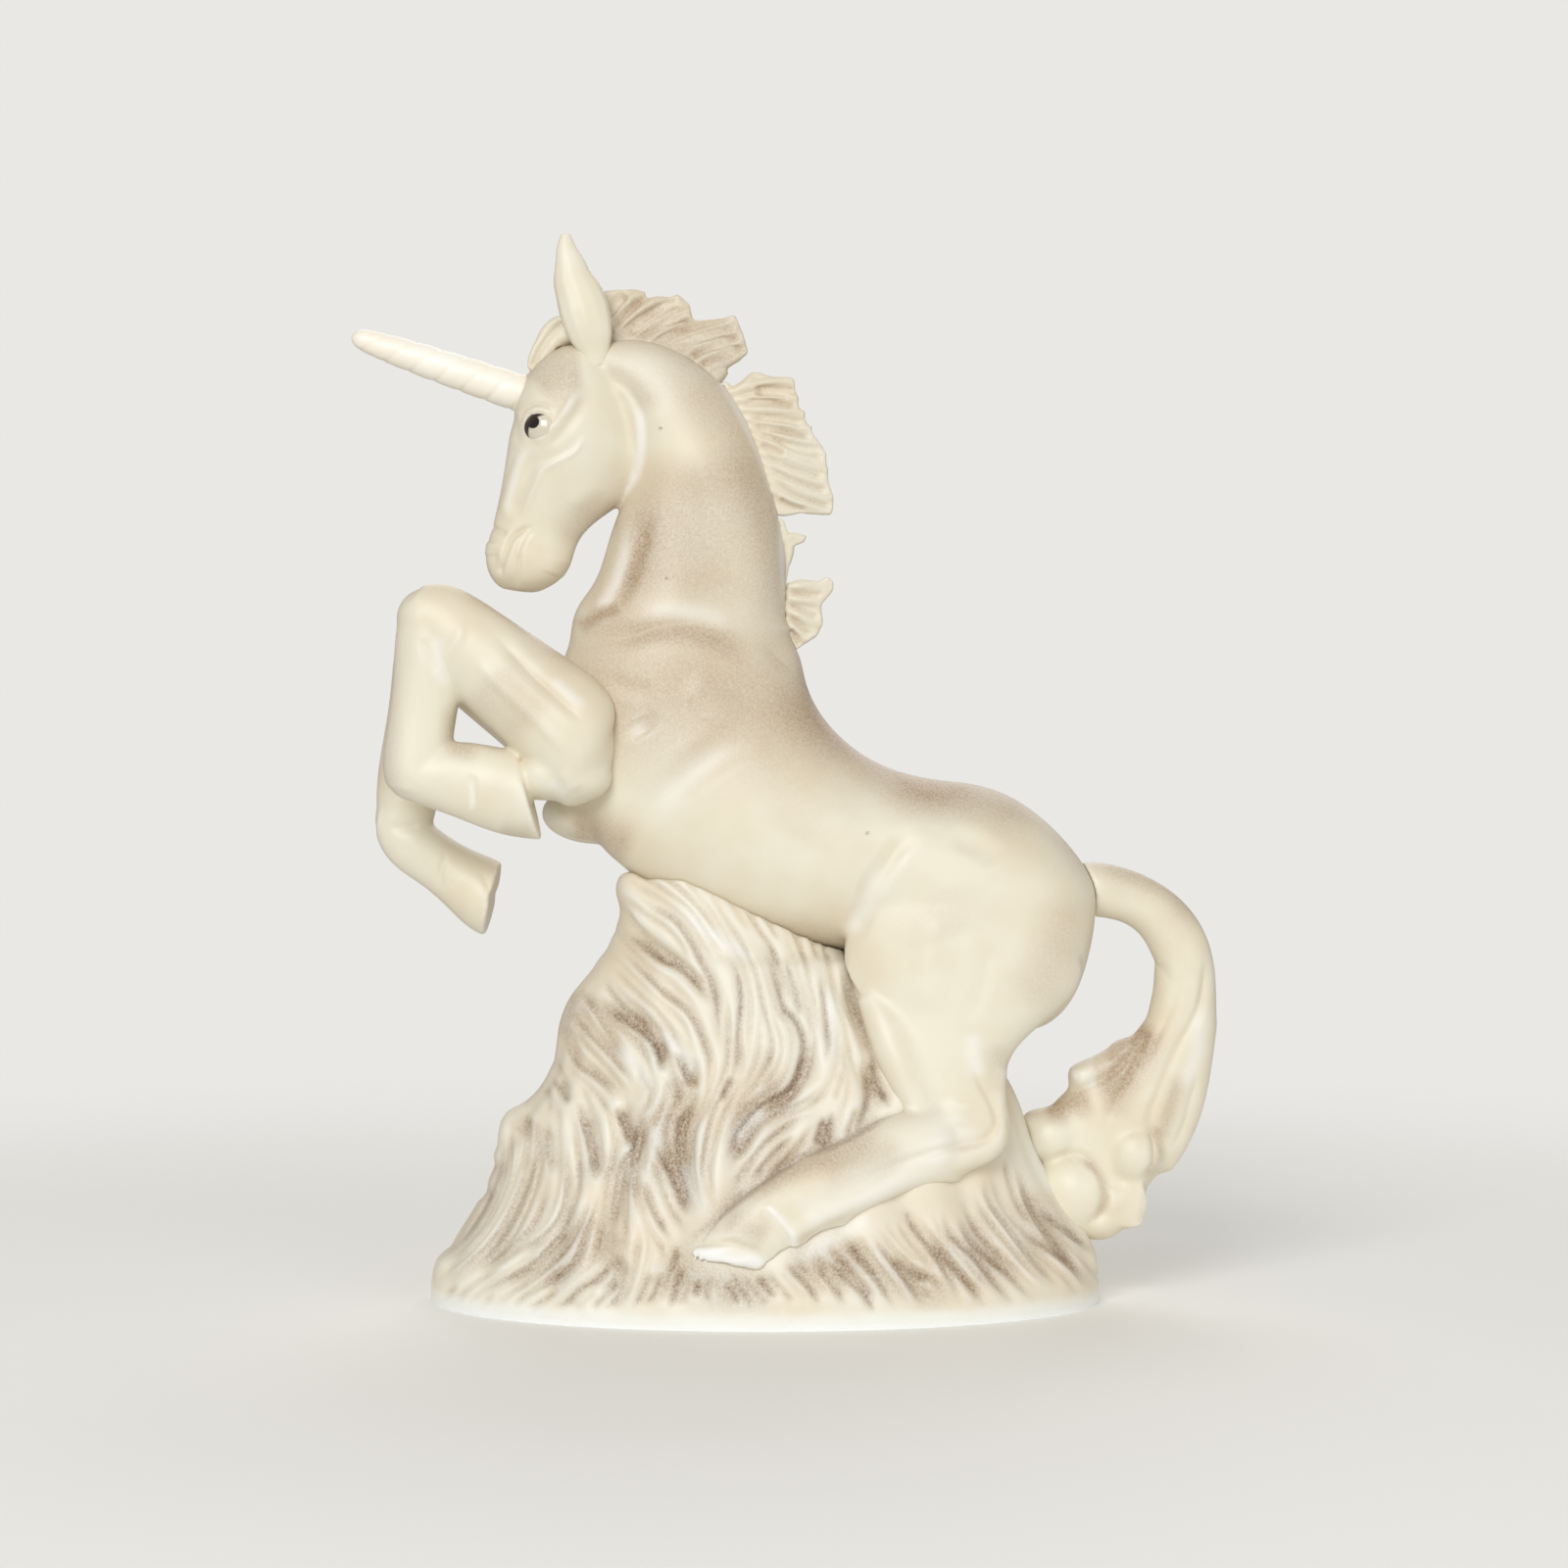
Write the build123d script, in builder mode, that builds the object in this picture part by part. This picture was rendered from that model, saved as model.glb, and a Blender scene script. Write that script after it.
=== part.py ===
from build123d import *
import os
from math import cos, pi, sin

# A rearing unicorn figurine in slip-cast ceramic, standing on a grassy mound.
# It is built the way the potter builds it: every casting is its own piece, and the castings are
# luted together, edge on edge, before the firing. The large castings are hollow, and the mound is
# open underneath, where the slip was poured in and out.
#
# The animal looks along -X, so its left side faces -Y. +Z is up and the foot stands on Z = 0.
# Millimetres throughout.

# Driving dimensions
FIGURE_HEIGHT = 217.0  # foot to ear tip
BODY_WIDTH = 39.0  # across the haunches
NECK_ROOT_WIDTH = 26.0  # across the neck where it leaves the shoulders
HEAD_WIDTH = 20.5  # across the brows
FORELEG_WIDTH = 19.0  # across the forearm at the elbow
FORELEG_SPACING = 24.0  # between the middles of the two forelegs
HIND_LEG_WIDTH = 17.0  # across the thigh
HIND_LEG_SPACING = 25.0  # between the middles of the two thighs
TAIL_WIDTH = 12.0  # across the dock and the switch of the tail
MOUND_DEPTH = 73.0  # front to back over the foot
FOOT_HEIGHT = 3.6  # the smooth band at the foot of the mound
WALL = 3.4  # cast wall of the hollow castings
MOUND_WALL = 4.9  # cast wall of the mound behind its deepest grooves
VENT_DIAMETER = 5.0  # holes through hidden seams that join the hollows, for the air in the kiln

# Horn: a tapered, twisted cone with a spigot that seats in the forehead
HORN_LENGTH = 38.8
HORN_ROOT_DIAMETER = 7.8
HORN_TIP_DIAMETER = 2.0
HORN_LOBES = 2
HORN_TURNS = 3.5
HORN_SLICES = 24
HORN_POINTS_PER_LOBE = 8
HORN_LOBE_HEIGHT_SHARE = 0.05
SPIGOT_DIAMETER = 4.0
SPIGOT_LENGTH = 4.5
SLIP_CLEARANCE = 0.15  # slip around the spigot, all round

# Ears
EAR_THICKNESS = 6.4
EAR_SPACING = 11.0
EAR_BOWL_LENGTH = 14.0
EAR_BOWL_WIDTH = 5.2

# Mane and forelock
MANE_THICKNESS = 4.2
MANE_EDGE_RADIUS = 0.7
MANE_GROOVE_DIAMETER = 1.5
FORELOCK_WIDTH = 7.0

# Eyes: a bead of gloss enamel in a seat that fits it
EYE_LENGTH = 5.6
EYE_HEIGHT = 3.9

# Mound: how many tufts of grass run up it, and how far one stands proud, as a share of its width
GRASS_TUFTS = 32
GRASS_RELIEF_SHARE = 0.16

# The side view is drawn in shares of one square, whose side follows from the figure's height.
# A place is (along, up): along is 0 in the middle of the figure, up is 0 at the foot.
EAR_TIP_SHARE = 1.085
SIDE = FIGURE_HEIGHT / EAR_TIP_SHARE
OVERRUN = WALL  # how far a cut runs past what it cuts

# Each limb is a row of stations. A station is the two facing points of the limb's outline, and the
# limb's width there as a share of its own named width.
TORSO_SHARES = [
    ((0.316, 0.418), (0.313, 0.368), 0.30),
    ((0.303, 0.446), (0.299, 0.318), 0.68),
    ((0.263, 0.490), (0.258, 0.276), 0.92),
    ((0.212, 0.520), (0.186, 0.290), 1.00),
    ((0.160, 0.529), (0.105, 0.342), 0.98),
    ((0.108, 0.541), (0.026, 0.358), 0.95),
    ((0.062, 0.569), (-0.054, 0.377), 0.96),
    ((0.034, 0.602), (-0.119, 0.408), 0.94),
    ((0.021, 0.634), (-0.187, 0.463), 0.86),
]
SHOULDER_TOP = ((0.014, 0.660), (-0.236, 0.560))
SHOULDER_TOP_SHARE = 1.155  # its width in widths of the neck's root
NECK_ROOT = ((0.008, 0.684), (-0.218, 0.672))
NECK_SHARES = [
    (*NECK_ROOT, 1.00),
    ((0.002, 0.725), (-0.198, 0.725), 0.90),
    ((-0.001, 0.775), (-0.180, 0.769), 0.82),
    ((-0.014, 0.828), (-0.164, 0.813), 0.76),
    ((-0.033, 0.885), (-0.155, 0.847), 0.72),
    ((-0.066, 0.936), (-0.162, 0.880), 0.68),
    ((-0.108, 0.966), (-0.172, 0.905), 0.62),
    ((-0.150, 0.978), (-0.190, 0.925), 0.54),
    ((-0.178, 0.976), (-0.204, 0.938), 0.40),
]
# A head station also says how full the section is beside the face and beside the jaw.
HEAD_SHARES = [
    ((-0.226, 0.972), (-0.180, 0.964), 0.45, 0.70, 0.70),
    ((-0.251, 0.955), (-0.162, 0.932), 0.80, 0.74, 0.66),
    ((-0.267, 0.929), (-0.150, 0.897), 0.98, 0.80, 0.62),
    ((-0.277, 0.895), (-0.146, 0.861), 1.00, 0.82, 0.60),
    ((-0.283, 0.857), (-0.158, 0.820), 0.86, 0.80, 0.58),
    ((-0.290, 0.817), (-0.192, 0.792), 0.68, 0.76, 0.60),
    ((-0.298, 0.784), (-0.211, 0.769), 0.60, 0.76, 0.66),
    ((-0.304, 0.758), (-0.219, 0.745), 0.62, 0.80, 0.70),
    ((-0.299, 0.736), (-0.233, 0.728), 0.50, 0.76, 0.70),
    ((-0.286, 0.724), (-0.250, 0.719), 0.26, 0.70, 0.70),
]
LEFT_FOREARM_SHARES = [
    ((-0.168, 0.588), (-0.190, 0.510), 0.55),
    ((-0.184, 0.626), (-0.229, 0.510), 1.00),
    ((-0.221, 0.654), (-0.262, 0.549), 0.96),
    ((-0.258, 0.679), (-0.304, 0.589), 0.88),
    ((-0.294, 0.703), (-0.338, 0.623), 0.80),
    ((-0.325, 0.721), (-0.367, 0.654), 0.70),
    ((-0.360, 0.724), (-0.384, 0.684), 0.52),
]
LEFT_CANNON_SHARES = [
    ((-0.374, 0.716), (-0.323, 0.698), 0.56),
    ((-0.387, 0.682), (-0.316, 0.667), 0.68),
    ((-0.391, 0.633), (-0.322, 0.623), 0.64),
    ((-0.396, 0.589), (-0.329, 0.582), 0.58),
    ((-0.401, 0.549), (-0.335, 0.546), 0.60),
    ((-0.396, 0.522), (-0.345, 0.513), 0.50),
]
LEFT_FORE_HOOF_SHARES = [
    ((-0.387, 0.552), (-0.394, 0.522), 0.42),
    ((-0.353, 0.562), (-0.367, 0.505), 0.60),
    ((-0.318, 0.567), (-0.330, 0.492), 0.60),
    ((-0.291, 0.563), (-0.302, 0.481), 0.64),
    ((-0.270, 0.559), (-0.274, 0.473), 0.76),
    ((-0.266, 0.556), (-0.242, 0.469), 0.80),
]
LEFT_FORE_JOINT_SHARES = [
    ((-0.356, 0.690), 0.66),
    ((-0.370, 0.535), 0.58),
]
RIGHT_FOREARM_SHARES = [
    ((-0.175, 0.581), (-0.198, 0.499), 0.55),
    ((-0.194, 0.622), (-0.239, 0.507), 1.00),
    ((-0.230, 0.652), (-0.272, 0.546), 0.94),
    ((-0.268, 0.675), (-0.316, 0.585), 0.84),
    ((-0.306, 0.695), (-0.352, 0.616), 0.76),
    ((-0.339, 0.709), (-0.383, 0.644), 0.68),
    ((-0.373, 0.710), (-0.399, 0.674), 0.50),
]
RIGHT_CANNON_SHARES = [
    ((-0.388, 0.704), (-0.341, 0.688), 0.56),
    ((-0.404, 0.668), (-0.339, 0.660), 0.66),
    ((-0.410, 0.617), (-0.345, 0.609), 0.60),
    ((-0.418, 0.566), (-0.357, 0.561), 0.54),
    ((-0.424, 0.513), (-0.361, 0.507), 0.58),
    ((-0.422, 0.478), (-0.377, 0.468), 0.48),
]
RIGHT_FORE_HOOF_SHARES = [
    ((-0.418, 0.507), (-0.424, 0.474), 0.42),
    ((-0.377, 0.492), (-0.408, 0.443), 0.58),
    ((-0.345, 0.468), (-0.379, 0.421), 0.58),
    ((-0.323, 0.456), (-0.357, 0.403), 0.62),
    ((-0.306, 0.449), (-0.333, 0.380), 0.74),
    ((-0.294, 0.443), (-0.311, 0.367), 0.78),
]
RIGHT_FORE_JOINT_SHARES = [
    ((-0.371, 0.680), 0.64),
    ((-0.399, 0.489), 0.56),
]
# A hind leg station also says how far out from the thigh's middle it lies, in thigh widths.
HIND_THIGH_SHARES = [
    ((0.076, 0.412), (0.268, 0.426), 0.80, -0.15),
    ((0.060, 0.358), (0.294, 0.358), 1.00, 0.00),
    ((0.076, 0.300), (0.270, 0.296), 1.00, 0.04),
    ((0.095, 0.257), (0.228, 0.257), 0.86, 0.15),
    ((0.109, 0.219), (0.220, 0.226), 0.72, 0.26),
    ((0.131, 0.185), (0.224, 0.195), 0.64, 0.32),
    ((0.160, 0.158), (0.222, 0.166), 0.50, 0.34),
]
HIND_CANNON_SHARES = [
    ((0.194, 0.215), (0.217, 0.154), 0.46, 0.32),
    ((0.147, 0.218), (0.179, 0.138), 0.58, 0.46),
    ((0.101, 0.201), (0.130, 0.126), 0.54, 0.68),
    ((0.062, 0.183), (0.089, 0.107), 0.52, 0.86),
    ((0.027, 0.166), (0.053, 0.090), 0.58, 0.98),
    ((-0.005, 0.150), (0.019, 0.074), 0.56, 1.06),
    ((-0.033, 0.132), (-0.005, 0.057), 0.60, 1.09),
    ((-0.061, 0.109), (-0.028, 0.053), 0.62, 1.10),
    ((-0.086, 0.086), (-0.061, 0.053), 0.48, 1.10),
    ((-0.099, 0.076), (-0.092, 0.063), 0.20, 1.10),
]
TAIL_BEND_SHARES = ((0.442, 0.280), (0.370, 0.287), 0.98)
TAIL_DOCK_SHARES = [
    ((0.290, 0.444), (0.296, 0.392), 0.84),
    ((0.330, 0.444), (0.329, 0.388), 0.84),
    ((0.372, 0.430), (0.354, 0.379), 0.86),
    ((0.412, 0.400), (0.371, 0.358), 0.90),
    ((0.437, 0.350), (0.377, 0.327), 0.94),
    TAIL_BEND_SHARES,
]
TAIL_SWITCH_SHARES = [
    TAIL_BEND_SHARES,
    ((0.434, 0.222), (0.332, 0.247), 1.00),
    ((0.420, 0.172), (0.290, 0.215), 1.00),
    ((0.396, 0.130), (0.262, 0.180), 0.94),
    ((0.366, 0.096), (0.258, 0.136), 0.84),
    ((0.346, 0.072), (0.280, 0.096), 0.60),
]
TAIL_CURL_SHARES = [
    ((0.357, 0.150), 0.023, 1.10),
    ((0.302, 0.112), 0.027, 1.10),
    ((0.352, 0.098), 0.024, 0.96),
]
EAR_SHARES = [
    ((-0.222, 0.968), (-0.178, 0.976), 0.80),
    ((-0.224, 1.000), (-0.178, 1.000), 1.00),
    ((-0.232, 1.034), (-0.192, 1.028), 0.90),
    ((-0.232, 1.060), (-0.209, 1.053), 0.66),
    ((-0.224, EAR_TIP_SHARE), (-0.217, 1.083), 0.24),
]
EAR_BOWL_ENDS_SHARES = ((-0.202, 0.986), (-0.216, 1.052))
FORELOCK_SHARES = [
    ((-0.190, 0.998), (-0.190, 0.966), 0.70),
    ((-0.218, 0.996), (-0.212, 0.962), 1.00),
    ((-0.245, 0.982), (-0.231, 0.953), 0.90),
    ((-0.258, 0.964), (-0.243, 0.946), 0.66),
    ((-0.262, 0.948), (-0.252, 0.941), 0.34),
]
# Each fringe of the mane is an outline, and the grooves between its locks from root to edge.
POLL_FRINGE_SHARES = [
    (-0.182, 0.962), (-0.186, 1.028), (-0.150, 1.030), (-0.135, 1.019), (-0.108, 1.025),
    (-0.096, 1.014), (-0.093, 0.998), (-0.050, 1.004), (-0.042, 0.986), (-0.036, 0.965),
    (-0.046, 0.957), (-0.064, 0.947), (-0.084, 0.908), (-0.130, 0.945),
]
POLL_GROOVE_SHARES = [
    ((-0.172, 0.978), (-0.135, 1.024)),
    ((-0.148, 0.976), (-0.100, 1.006)),
    ((-0.124, 0.969), (-0.038, 0.990)),
    ((-0.100, 0.958), (-0.030, 0.972)),
]
UPPER_FRINGE_SHARES = [
    (-0.082, 0.905), (-0.060, 0.938), (-0.048, 0.925), (-0.034, 0.926), (-0.031, 0.947),
    (-0.014, 0.941), (0.010, 0.940), (0.015, 0.910), (0.030, 0.882), (0.043, 0.864),
    (0.044, 0.838), (0.051, 0.816), (0.049, 0.799), (0.016, 0.801), (0.000, 0.798),
    (-0.026, 0.800), (-0.042, 0.850),
]
UPPER_GROOVE_SHARES = [
    ((-0.046, 0.914), (0.016, 0.924)),
    ((-0.036, 0.896), (0.026, 0.894)),
    ((-0.026, 0.876), (0.042, 0.866)),
    ((-0.018, 0.856), (0.050, 0.836)),
    ((-0.012, 0.834), (0.054, 0.810)),
]
CREST_CURL_SHARES = [
    (-0.022, 0.806), (0.000, 0.794), (0.004, 0.780), (0.016, 0.780), (0.024, 0.774),
    (0.016, 0.770), (0.007, 0.767), (0.006, 0.752), (0.002, 0.728), (-0.024, 0.728),
]
LOWER_FRINGE_SHARES = [
    (-0.022, 0.732), (0.003, 0.723), (0.014, 0.735), (0.037, 0.732), (0.043, 0.738),
    (0.051, 0.732), (0.050, 0.722), (0.038, 0.708), (0.040, 0.689), (0.034, 0.676),
    (0.014, 0.663), (0.010, 0.648), (-0.024, 0.640),
]
LOWER_GROOVE_SHARES = [
    ((0.000, 0.716), (0.042, 0.700)),
    ((0.000, 0.700), (0.038, 0.680)),
    ((0.002, 0.684), (0.022, 0.664)),
]
# The mound in slices: height, its left and right ends, its depth and its grass as shares.
MOUND_SHARES = [
    (0.000, -0.360, 0.322, 1.00, 0.00),
    (FOOT_HEIGHT / SIDE, -0.359, 0.321, 0.99, 0.10),
    (0.050, -0.350, 0.314, 0.94, 0.75),
    (0.100, -0.320, 0.284, 0.85, 1.00),
    (0.160, -0.288, 0.250, 0.75, 1.00),
    (0.220, -0.252, 0.228, 0.67, 1.00),
    (0.290, -0.226, 0.160, 0.57, 0.90),
    (0.320, -0.209, 0.123, 0.53, 0.85),
    (0.350, -0.190, 0.085, 0.49, 0.80),
]
MOUND_CROWN_SHARES = [
    ((-0.186, 0.345), (0.080, 0.345), 0.47),
    ((-0.164, 0.400), (0.010, 0.400), 0.42),
    ((-0.152, 0.434), (-0.060, 0.434), 0.34),
]
MOUND_CAVITY_TOP_SHARE = 0.290  # how high the hollow under the mound reaches
TUFT_LEAN_SHARE = 0.035  # how far round the mound a tuft leans per slice, in turns of a radius
TUFT_UNEVEN_SHARE = 0.05  # how unevenly the tufts are spread
TUFT_UNEVEN_COUNT = 7  # how many times round the mound they crowd and spread
FLANK_TUFT_SHARES = [
    ((-0.286, 0.186), (-0.256, 0.190), 0.16),
    ((-0.290, 0.160), (-0.236, 0.170), 0.26),
    ((-0.300, 0.110), (-0.220, 0.130), 0.30),
    ((-0.318, 0.060), (-0.230, 0.070), 0.24),
]
BRISKET_TUFT_SHARES = [
    ((-0.166, 0.436), (-0.146, 0.440), 0.16),
    ((-0.172, 0.412), (-0.128, 0.424), 0.28),
    ((-0.160, 0.380), (-0.104, 0.392), 0.36),
    ((-0.166, 0.340), (-0.100, 0.346), 0.36),
]
HORN_SEAT_SHARES = (-0.255, 0.929)
HORN_AIM_SHARES = (-0.440, 0.983)
EYE_ENDS_SHARES = ((-0.266, 0.888), (-0.242, 0.894))
EYE_SIDE_SHARE = 0.35  # how far out the bead sits, in head widths
BELLY_VENT_SHARES = ((-0.040, 0.440), (-0.040, 0.260))
NECK_VENT_SHARES = ((-0.104, 0.720), (-0.104, 0.620))


def drawn(place):
    """A place of the side view as a point in the middle plane of the figure."""
    return Vector(place[0] * SIDE, 0, place[1] * SIDE)


def station_plane(first, second, sideways=0):
    """The plane across a limb through two facing points of its outline."""
    across = (drawn(first) - drawn(second)).normalized()
    middle = (drawn(first) + drawn(second)) * 0.5 + Vector(0, sideways, 0)
    return Plane(origin=middle, x_dir=across, z_dir=across.cross(Vector(0, 1, 0)))


def depth_between(first, second):
    """The distance between two facing points of an outline."""
    return (drawn(first) - drawn(second)).length


def oval_sections(stations, width, sideways=0, inset=0):
    """Oval sections through a limb, all lying sideways from the middle plane by the same step."""
    sections = []
    for first, second, width_share in stations:
        with BuildSketch(station_plane(first, second, sideways)) as section:
            Ellipse(depth_between(first, second) / 2 - inset, width * width_share / 2 - inset)
        sections.append(section.sketch)
    return sections


def splayed_sections(stations, width, sideways):
    """Oval sections through a leg that splays outwards on its way down."""
    sections = []
    side = sideways / abs(sideways)
    for first, second, width_share, out_share in stations:
        out = sideways + side * out_share * width
        with BuildSketch(station_plane(first, second, out)) as section:
            Ellipse(depth_between(first, second) / 2, width * width_share / 2)
        sections.append(section.sketch)
    return sections


def head_sections(stations, width):
    """Sections of the head: broad beside the face and drawn in beside the jaw."""
    sections = []
    for face, jaw, width_share, face_share, jaw_share in stations:
        half_depth = depth_between(face, jaw) / 2
        half_width = width * width_share / 2
        corner = half_depth * cos(pi / 4)
        outline = [
            (half_depth, 0),
            (corner, half_width * face_share),
            (0, half_width),
            (-corner, half_width * jaw_share),
            (-half_depth, 0),
            (-corner, -half_width * jaw_share),
            (0, -half_width),
            (corner, -half_width * face_share),
        ]
        with BuildSketch(station_plane(face, jaw)) as section:
            with BuildLine():
                Spline(*outline, periodic=True)
            make_face()
        sections.append(section.sketch)
    return sections


def tuft_angle(tuft, level):
    """Where round the mound a tuft stands at a slice, alike on the near and the far side."""
    angle = 2 * pi * tuft / GRASS_TUFTS
    return angle + TUFT_UNEVEN_SHARE * sin(TUFT_UNEVEN_COUNT * angle) + TUFT_LEAN_SHARE * level * sin(angle)


def mound_section(slice_shares, level):
    """One slice of the mound: an oval whose rim is a row of arcs, one for each tuft of grass."""
    height_share, left_share, right_share, depth_share, grass_share = slice_shares
    middle = (left_share + right_share) / 2 * SIDE
    half_length = (right_share - left_share) / 2 * SIDE
    half_depth = MOUND_DEPTH * depth_share / 2
    relief_share = GRASS_RELIEF_SHARE * grass_share

    def rim(angle):
        return Vector(middle + half_length * cos(angle), half_depth * sin(angle))

    with BuildSketch(Plane.XY.offset(height_share * SIDE)) as section:
        with BuildLine():
            for tuft in range(GRASS_TUFTS):
                start = tuft_angle(tuft, level)
                end = tuft_angle(tuft + 1, level)
                run = rim(end) - rim(start)
                crest = rim((start + end) / 2) + Vector(run.Y, -run.X) * relief_share
                ThreePointArc(rim(start), crest, rim(end))
        make_face()
    return section.sketch


def mound_cavity_section(slice_shares):
    """One smooth slice of the hollow under the mound."""
    height_share, left_share, right_share, depth_share, _ = slice_shares
    middle = (left_share + right_share) / 2 * SIDE
    with BuildSketch(Plane.XY.offset(height_share * SIDE)) as section:
        with Locations((middle, 0)):
            Ellipse(
                (right_share - left_share) / 2 * SIDE - MOUND_WALL,
                MOUND_DEPTH * depth_share / 2 - MOUND_WALL,
            )
    return section.sketch


def largest(piece):
    """The largest solid of a piece, without the chips that a trim leaves beyond its host."""
    return piece.solids().sort_by(SortBy.VOLUME)[-1]


def fringe(outline_shares, groove_shares):
    """A fringe of the mane: a flat casting with rounded corners and combed grooves on both faces."""
    with BuildPart() as plate:
        with BuildSketch(Plane.XZ) as outline:
            with BuildLine():
                Polyline(*[(x * SIDE, z * SIDE) for x, z in outline_shares], close=True)
            make_face()
            fillet(outline.vertices(), MANE_EDGE_RADIUS)
        extrude(amount=MANE_THICKNESS / 2, both=True)
        for root, edge in groove_shares:
            run = drawn(edge) - drawn(root)
            for face in (-1, 1):
                start = drawn(root) + Vector(0, face * MANE_THICKNESS / 2, 0)
                with BuildSketch(Plane(origin=start, z_dir=run.normalized())):
                    Circle(MANE_GROOVE_DIAMETER / 2)
                extrude(amount=run.length, mode=Mode.SUBTRACT)
    return plate.part


def bore(ends, diameter):
    """A round plug between two places of the side view, to drill a hole with."""
    run = drawn(ends[1]) - drawn(ends[0])
    with BuildPart() as plug:
        with BuildSketch(Plane(origin=drawn(ends[0]), z_dir=run.normalized())):
            Circle(diameter / 2)
        extrude(amount=run.length)
    return plug.part


def bead(ends, length, diameter, sideways):
    """An ellipsoid whose long axis lies along two places of the side view."""
    run = (drawn(ends[1]) - drawn(ends[0])).normalized()
    middle = (drawn(ends[0]) + drawn(ends[1])) * 0.5 + Vector(0, sideways, 0)
    with BuildPart() as spun:
        with BuildSketch(Plane(origin=middle, x_dir=run, z_dir=(0, 1, 0))) as half:
            Ellipse(length / 2, diameter / 2)
            split(bisect_by=Plane.XZ)
        revolve(axis=Axis(middle, run))
    return spun.part


def horn_section(share, plane):
    """One section of the horn at a share of its length: a lobed ring that turns as it tapers."""
    diameter = HORN_ROOT_DIAMETER + (HORN_TIP_DIAMETER - HORN_ROOT_DIAMETER) * share
    points = HORN_POINTS_PER_LOBE * HORN_LOBES
    outline = []
    for point in range(points):
        angle = 2 * pi * point / points
        lobe = cos(HORN_LOBES * (angle - 2 * pi * HORN_TURNS * share / HORN_LOBES))
        radius = diameter / 2 * (1 + HORN_LOBE_HEIGHT_SHARE * lobe)
        outline.append((radius * cos(angle), radius * sin(angle)))
    with BuildSketch(plane.offset(HORN_LENGTH * share)) as section:
        with BuildLine():
            Spline(*outline, periodic=True)
        make_face()
    return section.sketch


# Blanks: the full outer form of the castings that others are trimmed against

neck_width_share = NECK_ROOT_WIDTH / BODY_WIDTH
torso_stations = [*TORSO_SHARES, (*SHOULDER_TOP, SHOULDER_TOP_SHARE * neck_width_share)]
with BuildPart() as torso_blank:
    stations = [*torso_stations, (*NECK_ROOT, neck_width_share)]
    loft(sections=oval_sections(stations, BODY_WIDTH))

with BuildPart() as neck_blank:
    loft(sections=oval_sections(NECK_SHARES, NECK_ROOT_WIDTH))

with BuildPart() as head_blank:
    loft(sections=head_sections(HEAD_SHARES, HEAD_WIDTH))

with BuildPart() as mound_blank:
    slices = enumerate(MOUND_SHARES)
    loft(sections=[mound_section(shares, level) for level, shares in slices])
    for stations in (MOUND_CROWN_SHARES, FLANK_TUFT_SHARES, BRISKET_TUFT_SHARES):
        loft(sections=oval_sections(stations, MOUND_DEPTH))

# Blanks and castings of the body and the mound

with BuildPart() as torso:
    add(torso_blank.part)
    loft(sections=oval_sections(torso_stations[1:], BODY_WIDTH, inset=WALL), mode=Mode.SUBTRACT)
    add(bore(BELLY_VENT_SHARES, VENT_DIAMETER), mode=Mode.SUBTRACT)
    add(bore(NECK_VENT_SHARES, VENT_DIAMETER), mode=Mode.SUBTRACT)

with BuildPart() as grass_mound:
    add(mound_blank.part)
    add(torso_blank.part, mode=Mode.SUBTRACT)
    hollow = [shares for shares in MOUND_SHARES if shares[0] <= MOUND_CAVITY_TOP_SHARE]
    loft(sections=[mound_cavity_section(shares) for shares in hollow], mode=Mode.SUBTRACT)
    add(bore(BELLY_VENT_SHARES, VENT_DIAMETER), mode=Mode.SUBTRACT)
    add(largest(grass_mound), mode=Mode.REPLACE)

with BuildPart() as neck:
    add(neck_blank.part)
    add(torso_blank.part, mode=Mode.SUBTRACT)
    loft(sections=oval_sections(NECK_SHARES[1:-2], NECK_ROOT_WIDTH, inset=WALL), mode=Mode.SUBTRACT)
    add(bore(NECK_VENT_SHARES, VENT_DIAMETER), mode=Mode.SUBTRACT)
    add(largest(neck), mode=Mode.REPLACE)

# Head, with the horn and the eyes that seat in it

horn_seat = drawn(HORN_SEAT_SHARES)
horn_run = (drawn(HORN_AIM_SHARES) - horn_seat).normalized()
horn_plane = Plane(origin=horn_seat, z_dir=horn_run)
eye_side = HEAD_WIDTH * EYE_SIDE_SHARE

with BuildPart() as left_eye:
    add(bead(EYE_ENDS_SHARES, EYE_LENGTH, EYE_HEIGHT, -eye_side))

with BuildPart() as right_eye:
    add(bead(EYE_ENDS_SHARES, EYE_LENGTH, EYE_HEIGHT, eye_side))

with BuildPart() as head:
    add(head_blank.part)
    add(neck_blank.part, mode=Mode.SUBTRACT)
    with BuildSketch(horn_plane.offset(-SPIGOT_LENGTH - SLIP_CLEARANCE)):
        Circle(SPIGOT_DIAMETER / 2 + SLIP_CLEARANCE)
    extrude(amount=SPIGOT_LENGTH + OVERRUN, mode=Mode.SUBTRACT)
    add(left_eye.part, mode=Mode.SUBTRACT)
    add(right_eye.part, mode=Mode.SUBTRACT)

with BuildPart() as horn:
    steps = range(HORN_SLICES + 1)
    loft(sections=[horn_section(step / HORN_SLICES, horn_plane) for step in steps])
    add(head_blank.part, mode=Mode.SUBTRACT)
    with BuildSketch(horn_plane.offset(-SPIGOT_LENGTH)):
        Circle(SPIGOT_DIAMETER / 2)
    extrude(amount=SPIGOT_LENGTH + HORN_ROOT_DIAMETER / 2)

# Ears, forelock and the fringes of the mane

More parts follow.
